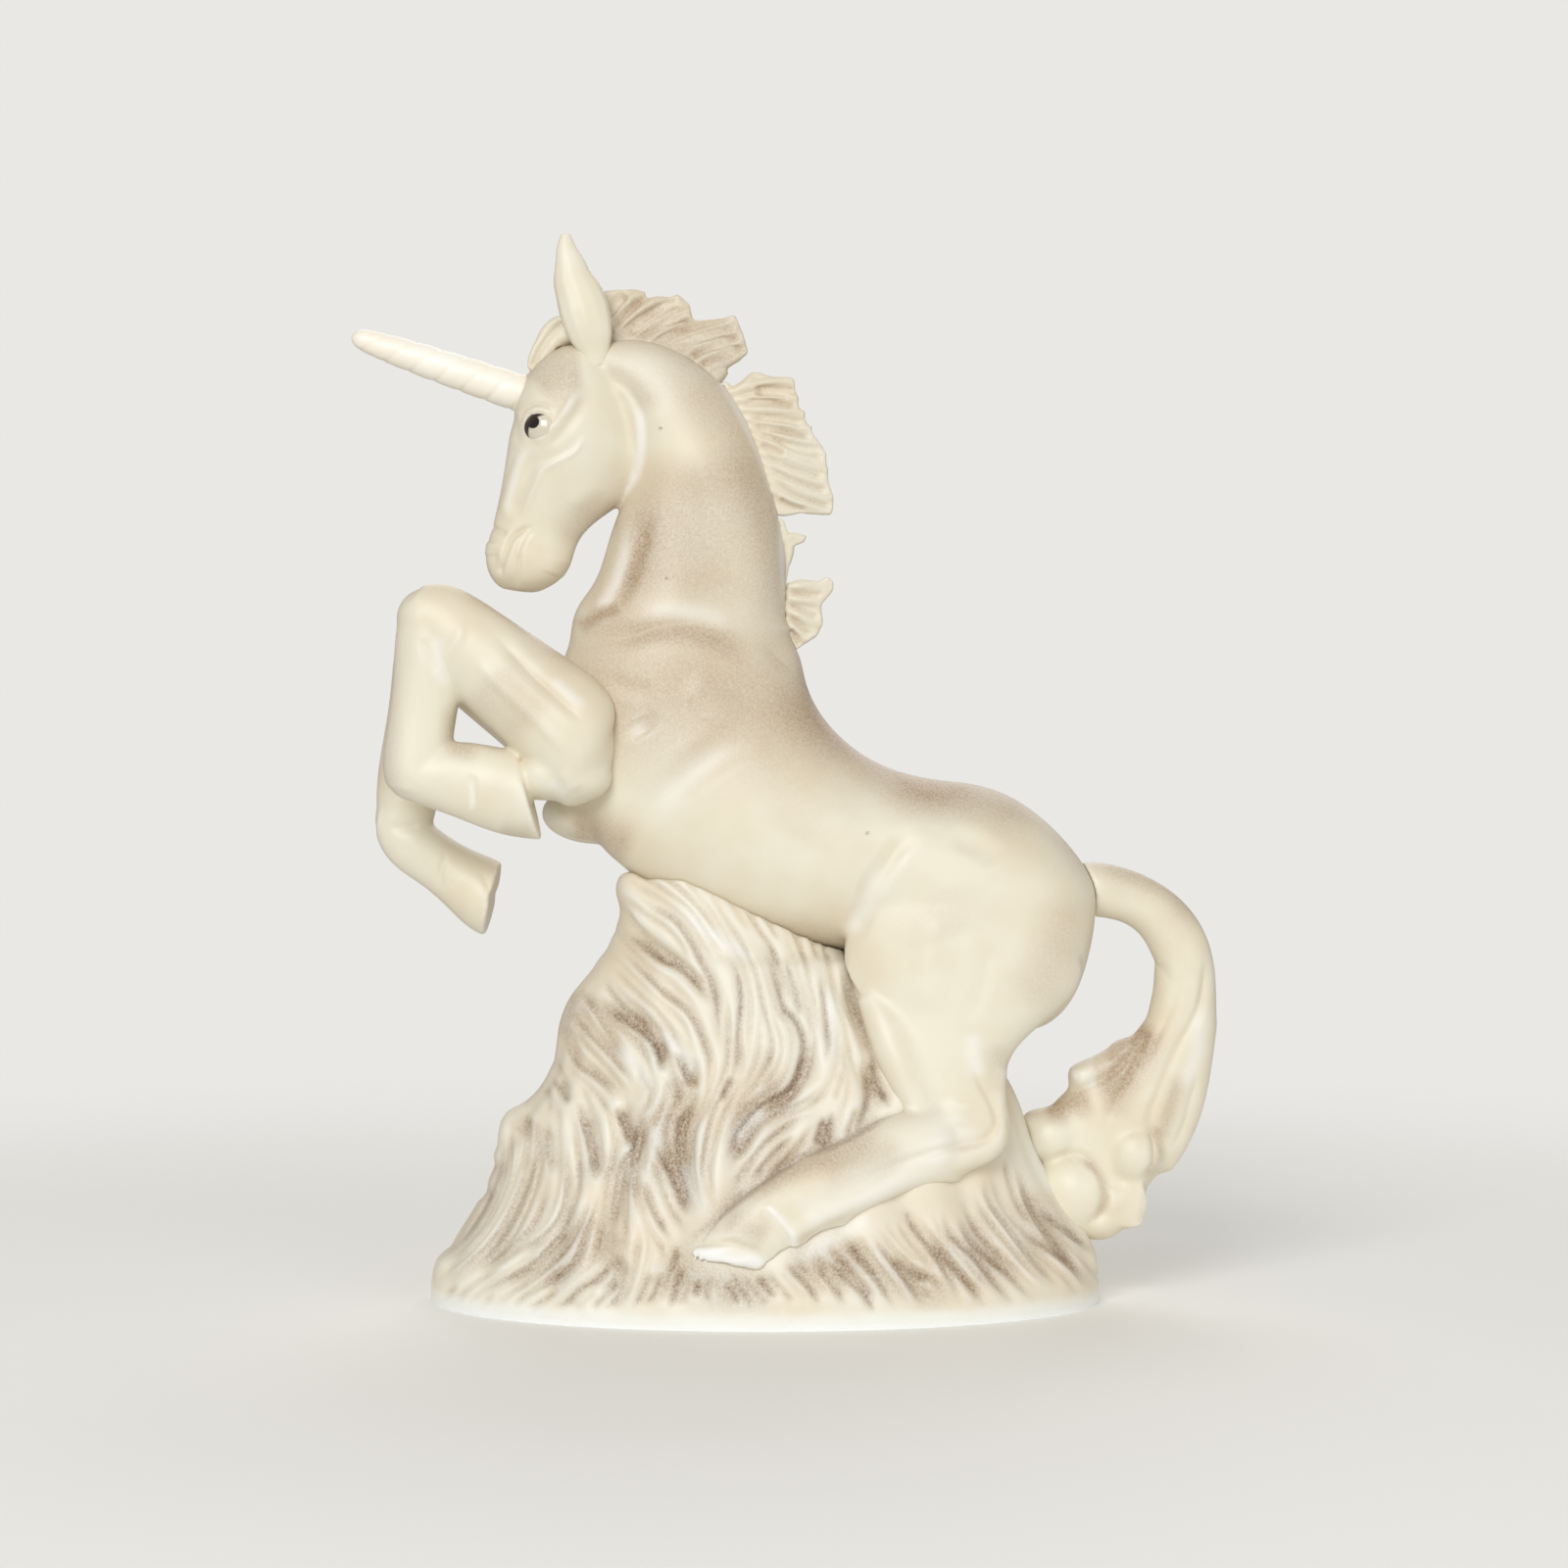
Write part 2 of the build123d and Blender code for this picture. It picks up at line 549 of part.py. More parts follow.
with BuildPart() as left_ear:
    loft(sections=oval_sections(EAR_SHARES, EAR_THICKNESS, -EAR_SPACING / 2))
    ear_face = -EAR_SPACING / 2 - EAR_THICKNESS / 2
    add(bead(EAR_BOWL_ENDS_SHARES, EAR_BOWL_LENGTH, EAR_BOWL_WIDTH, ear_face), mode=Mode.SUBTRACT)
    add(head_blank.part, mode=Mode.SUBTRACT)
    add(neck_blank.part, mode=Mode.SUBTRACT)
    add(largest(left_ear), mode=Mode.REPLACE)

with BuildPart() as right_ear:
    mirror(left_ear.part, about=Plane.XZ)

with BuildPart() as forelock:
    loft(sections=oval_sections(FORELOCK_SHARES, FORELOCK_WIDTH))
    for host in (head_blank, neck_blank, left_ear, right_ear, horn):
        add(host.part, mode=Mode.SUBTRACT)
    add(largest(forelock), mode=Mode.REPLACE)

with BuildPart() as mane_poll_fringe:
    add(fringe(POLL_FRINGE_SHARES, POLL_GROOVE_SHARES))
    for host in (head_blank, neck_blank, left_ear, right_ear, forelock):
        add(host.part, mode=Mode.SUBTRACT)
    add(largest(mane_poll_fringe), mode=Mode.REPLACE)

with BuildPart() as mane_upper_fringe:
    add(fringe(UPPER_FRINGE_SHARES, UPPER_GROOVE_SHARES))
    for host in (neck_blank, mane_poll_fringe):
        add(host.part, mode=Mode.SUBTRACT)
    add(largest(mane_upper_fringe), mode=Mode.REPLACE)

with BuildPart() as mane_lower_fringe:
    add(fringe(LOWER_FRINGE_SHARES, LOWER_GROOVE_SHARES))
    for host in (torso_blank, neck_blank):
        add(host.part, mode=Mode.SUBTRACT)
    add(largest(mane_lower_fringe), mode=Mode.REPLACE)

with BuildPart() as mane_crest_curl:
    add(fringe(CREST_CURL_SHARES, []))
    for host in (neck_blank, mane_upper_fringe, mane_lower_fringe):
        add(host.part, mode=Mode.SUBTRACT)
    add(largest(mane_crest_curl), mode=Mode.REPLACE)

# Legs and tail

with BuildPart() as left_hind_leg:
    leg_side = -HIND_LEG_SPACING / 2
    loft(sections=splayed_sections(HIND_THIGH_SHARES, HIND_LEG_WIDTH, leg_side))
    loft(sections=splayed_sections(HIND_CANNON_SHARES, HIND_LEG_WIDTH, leg_side))
    for host in (torso_blank, mound_blank):
        add(host.part, mode=Mode.SUBTRACT)
    add(largest(left_hind_leg), mode=Mode.REPLACE)

with BuildPart() as right_hind_leg:
    mirror(left_hind_leg.part, about=Plane.XZ)

with BuildPart() as left_foreleg:
    for stations in (LEFT_FOREARM_SHARES, LEFT_CANNON_SHARES, LEFT_FORE_HOOF_SHARES):
        loft(sections=oval_sections(stations, FORELEG_WIDTH, -FORELEG_SPACING / 2))
    for centre, width_share in LEFT_FORE_JOINT_SHARES:
        with Locations(drawn(centre) - Vector(0, FORELEG_SPACING / 2, 0)):
            Sphere(FORELEG_WIDTH * width_share / 2)
    for host in (torso_blank, neck_blank):
        add(host.part, mode=Mode.SUBTRACT)
    add(largest(left_foreleg), mode=Mode.REPLACE)

with BuildPart() as right_foreleg:
    for stations in (RIGHT_FOREARM_SHARES, RIGHT_CANNON_SHARES, RIGHT_FORE_HOOF_SHARES):
        loft(sections=oval_sections(stations, FORELEG_WIDTH, FORELEG_SPACING / 2))
    for centre, width_share in RIGHT_FORE_JOINT_SHARES:
        with Locations(drawn(centre) + Vector(0, FORELEG_SPACING / 2, 0)):
            Sphere(FORELEG_WIDTH * width_share / 2)
    for host in (torso_blank, neck_blank):
        add(host.part, mode=Mode.SUBTRACT)
    add(largest(right_foreleg), mode=Mode.REPLACE)

with BuildPart() as tail:
    loft(sections=oval_sections(TAIL_DOCK_SHARES, TAIL_WIDTH))
    loft(sections=oval_sections(TAIL_SWITCH_SHARES, TAIL_WIDTH))
    for centre, radius_share, width_share in TAIL_CURL_SHARES:
        with BuildSketch(Plane.XZ):
            with Locations((centre[0] * SIDE, centre[1] * SIDE)):
                Circle(radius_share * SIDE)
        extrude(amount=TAIL_WIDTH * width_share / 2, both=True)
    for host in (torso_blank, mound_blank, left_hind_leg, right_hind_leg):
        add(host.part, mode=Mode.SUBTRACT)
    add(largest(tail), mode=Mode.REPLACE)

os.makedirs("parts", exist_ok=True)

grass_mound.part.label = "grass_mound"
torso.part.label = "torso"
neck.part.label = "neck"
head.part.label = "head"
horn.part.label = "horn"
left_eye.part.label = "left_eye"
right_eye.part.label = "right_eye"
left_ear.part.label = "left_ear"
right_ear.part.label = "right_ear"
forelock.part.label = "forelock"
mane_poll_fringe.part.label = "mane_poll_fringe"
mane_upper_fringe.part.label = "mane_upper_fringe"
mane_crest_curl.part.label = "mane_crest_curl"
mane_lower_fringe.part.label = "mane_lower_fringe"
left_foreleg.part.label = "left_foreleg"
right_foreleg.part.label = "right_foreleg"
left_hind_leg.part.label = "left_hind_leg"
right_hind_leg.part.label = "right_hind_leg"
tail.part.label = "tail"

export_step(grass_mound.part, "parts/grass_mound.step")
export_step(torso.part, "parts/torso.step")
export_step(neck.part, "parts/neck.step")
export_step(head.part, "parts/head.step")
export_step(horn.part, "parts/horn.step")
export_step(left_eye.part, "parts/left_eye.step")
export_step(right_eye.part, "parts/right_eye.step")
export_step(left_ear.part, "parts/left_ear.step")
export_step(right_ear.part, "parts/right_ear.step")
export_step(forelock.part, "parts/forelock.step")
export_step(mane_poll_fringe.part, "parts/mane_poll_fringe.step")
export_step(mane_upper_fringe.part, "parts/mane_upper_fringe.step")
export_step(mane_crest_curl.part, "parts/mane_crest_curl.step")
export_step(mane_lower_fringe.part, "parts/mane_lower_fringe.step")
export_step(left_foreleg.part, "parts/left_foreleg.step")
export_step(right_foreleg.part, "parts/right_foreleg.step")
export_step(left_hind_leg.part, "parts/left_hind_leg.step")
export_step(right_hind_leg.part, "parts/right_hind_leg.step")
export_step(tail.part, "parts/tail.step")
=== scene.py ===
"""The looks of a rearing unicorn figurine: a slip-cast, hand-stained bisque ornament on a grassy mound.

The castings are modelled as a potter would: each is a lump of clay with the form of its solids, whose
seams are melted together, whose muscles, folds and grass are pressed in along drawn lines, and which
is then cut into its pieces again. The lines are drawn in the side view: a place (along, up) is where
a point shows on the middle plane of the figure, in mm, to an eye in front of its left side. A lump is
alike on both sides of its own middle plane, so each line is also pressed into its other side.
"""

import logging
from collections.abc import Iterator, Sequence
from contextlib import contextmanager
from dataclasses import dataclass, replace
from enum import Enum

import bpy
import numpy as np
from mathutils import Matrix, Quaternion, Vector
from mathutils.kdtree import KDTree


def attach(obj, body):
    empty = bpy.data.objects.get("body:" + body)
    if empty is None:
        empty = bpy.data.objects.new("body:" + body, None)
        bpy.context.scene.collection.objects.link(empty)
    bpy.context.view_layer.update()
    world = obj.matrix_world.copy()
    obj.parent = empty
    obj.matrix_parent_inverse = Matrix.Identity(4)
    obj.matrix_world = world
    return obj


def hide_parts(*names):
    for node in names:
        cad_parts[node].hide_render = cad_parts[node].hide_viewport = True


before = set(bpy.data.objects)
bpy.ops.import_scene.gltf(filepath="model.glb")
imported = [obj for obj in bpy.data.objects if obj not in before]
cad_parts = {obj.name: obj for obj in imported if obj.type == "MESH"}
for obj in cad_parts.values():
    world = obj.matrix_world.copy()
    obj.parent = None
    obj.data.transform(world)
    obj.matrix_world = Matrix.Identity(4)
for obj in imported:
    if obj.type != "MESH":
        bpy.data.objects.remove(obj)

log = logging.getLogger("unicorn")

Place = tuple[float, float]
Path = tuple[Place, ...]
Point = tuple[float, float, float]

MM = 0.001  # one millimetre in metres
EYE_DISTANCE = 600.0  # from the middle plane to the eye of the side view, mm
EYE_HEIGHT = 105.0
FOCAL_LENGTH = 67.5  # of the camera that sees the side view, on a frame as wide as FRAME_WIDTH
FRAME_WIDTH = 36.0
PATH_STEP = 0.7  # how far apart the points of a smoothed line lie, mm
REACH = 36.4  # how far the figurine may stand out to either side of its middle plane, mm
MERGE_DISTANCE = 0.02  # within which the corners of loose triangles are one point, mm
BALL_SEGMENTS, BALL_RINGS = 32, 20
LOCK_ROUNDNESS = 4  # how finely the section of a rolled lock is divided
SMOOTHING_SHARE = 0.5  # how far a point moves to the middle of its neighbours in one round
HOLLOW_ROUNDS = 10  # of smoothing, against which the depth of a fine groove is measured
FACING_START, FACING_SPAN = -0.35, 0.4  # how far a face may turn away from the eye before a mark fades
NEAR_SIDE_WEIGHT = 0.05  # how much the search for a point of the skin prefers the side of the eye
TRIANGLE_LIMIT = 190_000  # past which a piece is thinned where it is flattest
HARD_EDGE = 1.1  # the angle past which an edge stays hard, in radians
CREASE_POWER = 1.7  # how steeply a crease falls off to its sides
STEP_POWER = 1.4
STEP_RISE = 5.0  # a step is at its full height at a fifth of its width


class Profile(Enum):
    """The section across a pressed line."""

    ROUND = "round"  # a soft swelling or hollow
    CREASE = "crease"  # a narrow valley or ridge with soft shoulders
    STEP = "step"  # one side raised above the other, as one lock of grass lies over the next


def curve_through(places: Sequence[Sequence[float]], step: float = PATH_STEP) -> np.ndarray:
    """Draws a smooth line through places.

    Args:
        places: two or more places or points.
        step: about how far apart the points of the result lie.

    Returns:
        The points of the line, one in a row.
    """
    knots = np.asarray(places, float)
    knots = np.vstack([2 * knots[0] - knots[1], knots, 2 * knots[-1] - knots[-2]])
    rows = []
    for before, start, end, after in zip(knots, knots[1:], knots[2:], knots[3:]):
        count = max(2, int(np.linalg.norm(end - start) / step))
        t = np.linspace(0, 1, count, endpoint=False)[:, None]
        rows.append(
            0.5 * (2 * start + (end - before) * t + (2 * before - 5 * start + 4 * end - after) * t**2
                   + (3 * start - before - 3 * end + after) * t**3)
        )
    return np.vstack([*rows, knots[-2]])


def eased(share: np.ndarray) -> np.ndarray:
    """Turns an even rise from 0 to 1 into a soft one."""
    return share * share * (3 - 2 * share)


def between(first: Path, second: Path, share: float, count: int = 9) -> Path:
    """Draws a line between two others, at a share of the way from the first to the second."""
    rows = []
    for path in (first, second):
        points = curve_through(path)
        places = np.linspace(0, len(points) - 1, count)
        rows.append(np.column_stack([np.interp(places, range(len(points)), points[:, k]) for k in (0, 1)]))
    return tuple(map(tuple, rows[0] * (1 - share) + rows[1] * share))


def fan(guides: Sequence[Path], count: int) -> list[Path]:
    """Draws a number of lines that turn evenly from the first guide, through the others, to the last."""
    lines = []
    for k in range(count):
        place = k / (count - 1) * (len(guides) - 1)
        first = min(int(place), len(guides) - 2)
        lines.append(between(guides[first], guides[first + 1], place - first))
    return lines


def spot(along: float, up: float, y: float = 0.0) -> Point:
    """Gives the point at a depth Y that shows at a place of the side view, in mm."""
    scale = (EYE_DISTANCE + y) / EYE_DISTANCE
    return along * scale, y, EYE_HEIGHT + (up - EYE_HEIGHT) * scale


@dataclass(frozen=True)
class Stroke:
    """A line of the side view that is pressed into the clay, or painted on it."""

    width: float  # from the line to where its mark ends, mm
    depth: float  # how far it stands proud, below zero how deep it is cut, mm; a share when painted
    path: Path
    profile: Profile = Profile.ROUND
    taper: float = 0.25  # the share of its length over which it fades at each end

    def height(self, along: np.ndarray, up: np.ndarray) -> np.ndarray:
        """Gives how far the stroke moves the points that show at some places.

        Args:
            along: where the points show, along.
            up: where the points show, up.

        Returns:
            The height of the mark at each point.
        """
        line = curve_through(self.path)
        result = np.zeros(len(along))
        low, high = line.min(0) - self.width, line.max(0) + self.width
        near = np.flatnonzero((along > low[0]) & (along < high[0]) & (up > low[1]) & (up < high[1]))
        if not len(near):
            return result
        start, run = line[:-1], np.diff(line, axis=0)
        offset = np.column_stack([along[near], up[near]])[:, None, :] - start
        length = (run**2).sum(1) + 1e-9
        share = np.clip((offset * run).sum(2) / length, 0, 1)
        gap = offset - share[..., None] * run
        distance = np.sqrt((gap**2).sum(2))
        best = distance.argmin(1)
        rows = np.arange(len(near))
        across = distance[rows, best] / self.width
        where = (best + share[rows, best]) / len(run)
        fade = np.clip(np.minimum(where, 1 - where) / max(self.taper, 1e-6), 0, 1)
        fade = eased(fade) if self.taper else 1.0
        inside = np.clip(1 - across, 0, 1)
        if self.profile is Profile.ROUND:
            mark = eased(inside)
        elif self.profile is Profile.CREASE:
            mark = inside**CREASE_POWER
        else:
            turn = np.sign(offset[rows, best, 0] * run[best, 1] - offset[rows, best, 1] * run[best, 0])
            mark = turn * np.minimum(across * STEP_RISE, 1) * inside**STEP_POWER
        result[near] = self.depth * mark * fade
        return result


def activate(*things: bpy.types.Object) -> None:
    """Selects some objects and nothing else, and makes the first one active."""
    bpy.ops.object.select_all(action="DESELECT")
    for thing in things:
        thing.select_set(True)
    bpy.context.view_layer.objects.active = things[0]


@contextmanager
def editing(thing: bpy.types.Object) -> Iterator[None]:
    """Goes into edit mode on an object, and out of it again."""
    activate(thing)
    bpy.ops.object.mode_set(mode="EDIT")
    yield
    bpy.ops.object.mode_set(mode="OBJECT")


def placed(name: str, data: bpy.types.ID) -> bpy.types.Object:
    """Makes an object of a mesh, a curve, a lamp or a camera, and puts it into the scene."""
    thing = bpy.data.objects.new(name, data)
    bpy.context.scene.collection.objects.link(thing)
    return thing


def numbers(rows: bpy.types.bpy_prop_collection, name: str, width: int = 1, kind: type = float) -> np.ndarray:
    """Reads a property of all points, edges or faces of a mesh, with so many numbers to each."""
    values = np.empty(len(rows) * width, kind)
    rows.foreach_get(name, values)
    return values.reshape(-1, width) if width > 1 else values


def twin(thing: bpy.types.Object) -> bpy.types.Object:
    """Copies an object together with its mesh."""
    other = thing.copy()
    other.data = thing.data.copy()
    bpy.context.scene.collection.objects.link(other)
    return other


def copy_of(name: str, nodes: Sequence[str]) -> bpy.types.Object:
    """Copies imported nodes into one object, with their loose triangles merged.

    Args:
        name: the name of the new object.
        nodes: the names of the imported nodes.

    Returns:
        The new object.
    """
    copies = [placed(name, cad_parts[node].data.copy()) for node in nodes]
    for thing in copies:
        thing.data.materials.clear()
    activate(*copies)
    if len(copies) > 1:
        bpy.ops.object.join()
    with editing(copies[0]):
        bpy.ops.mesh.select_all(action="SELECT")
        bpy.ops.mesh.remove_doubles(threshold=MERGE_DISTANCE * MM)
    return copies[0]


def apply_modifier(thing: bpy.types.Object, kind: str, **settings: object) -> None:
    """Puts a modifier on an object and applies it.

    Args:
        thing: the object.
        kind: Blender's name for the modifier.
        settings: its settings.
    """
    activate(thing)
    modifier = thing.modifiers.new(kind.title(), kind)
    for key, value in settings.items():
        setattr(modifier, key, value)
    bpy.ops.object.modifier_apply(modifier=modifier.name)


def ball(middle: Point, radii: Point, turn: Quaternion | None = None) -> bpy.types.Object:
    """Adds an oval ball.

    Args:
        middle: its middle, mm.
        radii: its radii along X, Y and Z before it is turned, mm.
        turn: how it is turned.

    Returns:
        The ball.
    """
    bpy.ops.object.select_all(action="DESELECT")
    bpy.ops.mesh.primitive_uv_sphere_add(segments=BALL_SEGMENTS, ring_count=BALL_RINGS, radius=1)
    thing = bpy.context.object
    thing.scale = Vector(radii) * MM
    thing.location = Vector(middle) * MM
    if turn:
        thing.rotation_euler = turn.to_euler()
    bpy.ops.object.transform_apply()
    return thing


def prism(outline: Path, near: float, far: float) -> bpy.types.Object:
    """Adds an outline of the XZ plane, drawn out along Y from near to far, all in mm."""
    mesh = bpy.data.meshes.new("prism")
    mesh.from_pydata([(x * MM, near * MM, z * MM) for x, z in outline], [], [range(len(outline))])
    thing = placed("prism", mesh)
    with editing(thing):
        bpy.ops.mesh.select_all(action="SELECT")
        bpy.ops.mesh.extrude_region_move(TRANSFORM_OT_translate={"value": (0, (far - near) * MM, 0)})
        bpy.ops.mesh.select_all(action="SELECT")
        bpy.ops.mesh.normals_make_consistent(inside=False)
        bpy.ops.mesh.quads_convert_to_tris()
    return thing


def cut(thing: bpy.types.Object, cutter: bpy.types.Object, keep_inside: bool) -> None:
    """Keeps what of an object lies inside, or outside, a closed cutter."""
    operation = "INTERSECT" if keep_inside else "DIFFERENCE"
    apply_modifier(thing, "BOOLEAN", operation=operation, object=cutter, solver="MANIFOLD")


def thin(thing: bpy.types.Object) -> None:
    """Takes triangles away where a piece is flattest, if it has too many."""
    thing.data.calc_loop_triangles()
    count = len(thing.data.loop_triangles)
    if count > TRIANGLE_LIMIT:
        apply_modifier(thing, "DECIMATE", ratio=TRIANGLE_LIMIT / count)


@dataclass(frozen=True)
class Lock:
    """A lock of hair, or a leaf, that is rolled along a line of the side view."""

    path: Path
    radii: tuple[float, ...]  # its half widths, evenly spread along the line, mm
    flat: float = 1.0  # its thickness across the figure, as a share of its width
    depths: tuple[float, ...] = (0.0,)  # the Y that it lies at, evenly spread along the line, mm

    def roll(self) -> bpy.types.Object:
        """Makes the lock."""
        line = curve_through(self.path)
        shares = np.linspace(0, 1, len(line))
        widths = np.interp(shares, np.linspace(0, 1, len(self.radii)), self.radii)
        depths = np.interp(shares, np.linspace(0, 1, len(self.depths)), self.depths)
        curve = bpy.data.curves.new("lock", "CURVE")
        curve.dimensions = "3D"
        curve.bevel_depth = MM
        curve.bevel_resolution = LOCK_ROUNDNESS
        curve.use_fill_caps = True
        spline = curve.splines.new("POLY")
        spline.points.add(len(line) - 1)
        for knot, place, width, depth in zip(spline.points, line, widths, depths):
            x, _, z = spot(*place, -abs(depth))  # a lock of the far side is the mirror image of a near one
            knot.co = (x * MM, depth * MM, z * MM, 1)
            knot.radius = width
        thing = placed("lock", curve)
        activate(thing)
        bpy.ops.object.convert(target="MESH")
        if self.flat != 1.0:
            clay = Clay(thing)
            middle = self.depths[0]
            clay.points[:, 1] = middle + (clay.points[:, 1] - middle) * self.flat
            clay.write()
        return thing


class Clay:
    """A lump of clay: a mesh that is pressed, smoothed and stained, with its points in mm."""

    def __init__(self, thing: bpy.types.Object, middle: float = 0.0) -> None:
        """Takes an object as clay.

        Args:
            thing: a mesh object.
            middle: the Y of the plane about which its lines are mirrored, mm.
        """
        self.thing = thing
        self.middle = middle
        self.directions: np.ndarray | None = None  # where its points face, if its mesh doesn't tell
        self.read()

    def read(self) -> None:
        """Reads the mesh of the object."""
        self.points = numbers(self.thing.data.vertices, "co", 3) / MM
        self.edges = numbers(self.thing.data.edges, "vertices", 2, np.int64)

    def write(self) -> None:
        """Writes the points back to the mesh."""
        self.thing.data.vertices.foreach_set("co", (self.points * MM).ravel())
        self.thing.data.update()

    def normals(self) -> np.ndarray:
        """Gives the outward direction at each point."""
        if self.directions is not None:
            return self.directions
        self.write()
        return numbers(self.thing.data.vertex_normals, "vector", 3)

    def join(self, *others: bpy.types.Object) -> None:
        """Joins other objects into the lump."""
        activate(self.thing, *others)
        bpy.ops.object.join()
        self.read()

    def fuse(self, voxel: float) -> None:
        """Makes one closed skin of everything in the lump, and drops what lies inside it.

        Args:
            voxel: the size of its mesh, mm.
        """
        apply_modifier(self.thing, "REMESH", mode="VOXEL", voxel_size=voxel * MM, use_smooth_shade=True)
        self.read()
        for part in (self.thing.data.polygons, self.thing.data.edges):
            part.foreach_set("select", np.zeros(len(part), bool))
        self.thing.data.vertices.foreach_set("select", ~self.main_skin())
        with editing(self.thing):
            bpy.ops.mesh.select_mode(type="VERT")
            bpy.ops.mesh.delete(type="VERT")
        self.read()

    def main_skin(self) -> np.ndarray:
        """Finds the points of the largest skin: hollows and loose crumbs have skins of their own.

        Returns:
            For each point whether it lies on that skin.
        """
        first, second = self.edges.T
        skins = np.arange(len(self.points))
        while True:
            lowest = np.minimum(skins[first], skins[second])
            joined = skins.copy()
            np.minimum.at(joined, first, lowest)
            np.minimum.at(joined, second, lowest)
            joined = joined[joined]
            if np.array_equal(joined, skins):
                return skins == np.bincount(skins).argmax()
            skins = joined

    def smoothed(self, rounds: int, where: np.ndarray | None = None) -> np.ndarray:
        """Gives the points after rounds of drawing each towards the middle of its neighbours.

        Args:
            rounds: how many times.
            where: how strongly each point takes part, from 0 to 1, or None for all alike.

        Returns:
            The new points; the lump itself stays as it is.
        """
        first, second = self.edges.T
        count = np.bincount(self.edges.ravel(), minlength=len(self.points))[:, None]
        share = SMOOTHING_SHARE if where is None else SMOOTHING_SHARE * where[:, None]
        points = self.points.copy()
        for _ in range(rounds):
            total = np.column_stack([
                np.bincount(first, points[second, k], len(points))
                + np.bincount(second, points[first, k], len(points))
                for k in range(3)
            ])
            points += (total / np.maximum(count, 1) - points) * share
        return points

    def smooth(self, rounds: int, where: np.ndarray | None = None) -> None:
        """Smooths the lump, where it is told to."""
        self.points = self.smoothed(rounds, where)

    def spread(self, values: np.ndarray, rounds: int) -> np.ndarray:
        """Blurs one number for each point over the neighbours of the point."""
        first, second = self.edges.T
        count = np.bincount(self.edges.ravel(), minlength=len(values)) + 1.0
        for _ in range(rounds):
            values = (values + np.bincount(first, values[second], len(values))
                      + np.bincount(second, values[first], len(values))) / count
        return values

    def melt(self, places: Sequence[tuple[Point, float, int]]) -> None:
        """Smooths the lump around places: each has a middle, a radius in mm and a number of rounds."""
        for middle, radius, rounds in places:
            self.smooth(rounds, self.near(middle, radius))

    def skin(self, along: float, up: float) -> tuple[Vector, Vector]:
        """Finds the nearest point of the lump that shows at a place, and the outward direction there."""
        places = np.column_stack(self.seen())
        gap = np.hypot(*(places - (along, up)).T) + NEAR_SIDE_WEIGHT * self.points[:, 1]
        index = gap.argmin()
        return Vector(self.points[index]), Vector(self.normals()[index])

    def near(self, middle: Point, radius: float) -> np.ndarray:
        """Gives 1 at a place, fading to 0 at a radius from it, on both sides of the middle plane."""
        folded = self.points.copy()
        folded[:, 1] = self.middle - np.abs(folded[:, 1] - self.middle)
        return eased(np.clip(1 - np.linalg.norm(folded - middle, axis=1) / radius, 0, 1))

    def seen(self) -> tuple[np.ndarray, np.ndarray]:
        """Gives where each point, or its mirror image, shows in the side view: along and up."""
        y = self.middle - np.abs(self.points[:, 1] - self.middle)
        scale = EYE_DISTANCE / (EYE_DISTANCE + y)
        return self.points[:, 0] * scale, EYE_HEIGHT + (self.points[:, 2] - EYE_HEIGHT) * scale

    def heights(self, strokes: Sequence[Stroke]) -> np.ndarray:
        """Adds up the marks of strokes at each point that faces the eye, or whose mirror image does."""
        along, up = self.seen()
        facing = self.normals()[:, 1] * np.where(self.points[:, 1] > self.middle, 1, -1)
        total = sum((stroke.height(along, up) for stroke in strokes), np.zeros(len(along)))
        return total * np.clip((facing - FACING_START) / FACING_SPAN, 0, 1)

    def press(self, strokes: Sequence[Stroke]) -> None:
        """Presses strokes into the lump."""
        lift = self.heights(strokes)
        self.points += self.normals() * lift[:, None]

    def hollows(self, rounds: int = HOLLOW_ROUNDS) -> np.ndarray:
        """Gives how deep each point lies in a valley, or below zero how far out on a ridge, in mm."""
        return ((self.smoothed(rounds) - self.points) * self.normals()).sum(1)


def store(thing: bpy.types.Object, name: str, values: np.ndarray) -> None:
    """Keeps one number for each point of an object, from 0 to 1, for its material to read."""
    mesh = thing.data
    attribute = mesh.attributes.get(name) or mesh.attributes.new(name, "FLOAT", "POINT")
    attribute.data.foreach_set("value", np.clip(values, 0, 1).astype(np.float32))


PATCH_SIZE = 22.0  # of the broad, warm patches, mm
PATCH_EDGES = (0.42, 0.66)  # the noise where a patch starts and is full
GRAIN_EDGES = (0.36, 0.64)
GRAIN_RELIEF = 0.12  # how high the grain stands, mm
CERAMIC_IOR = 1.5


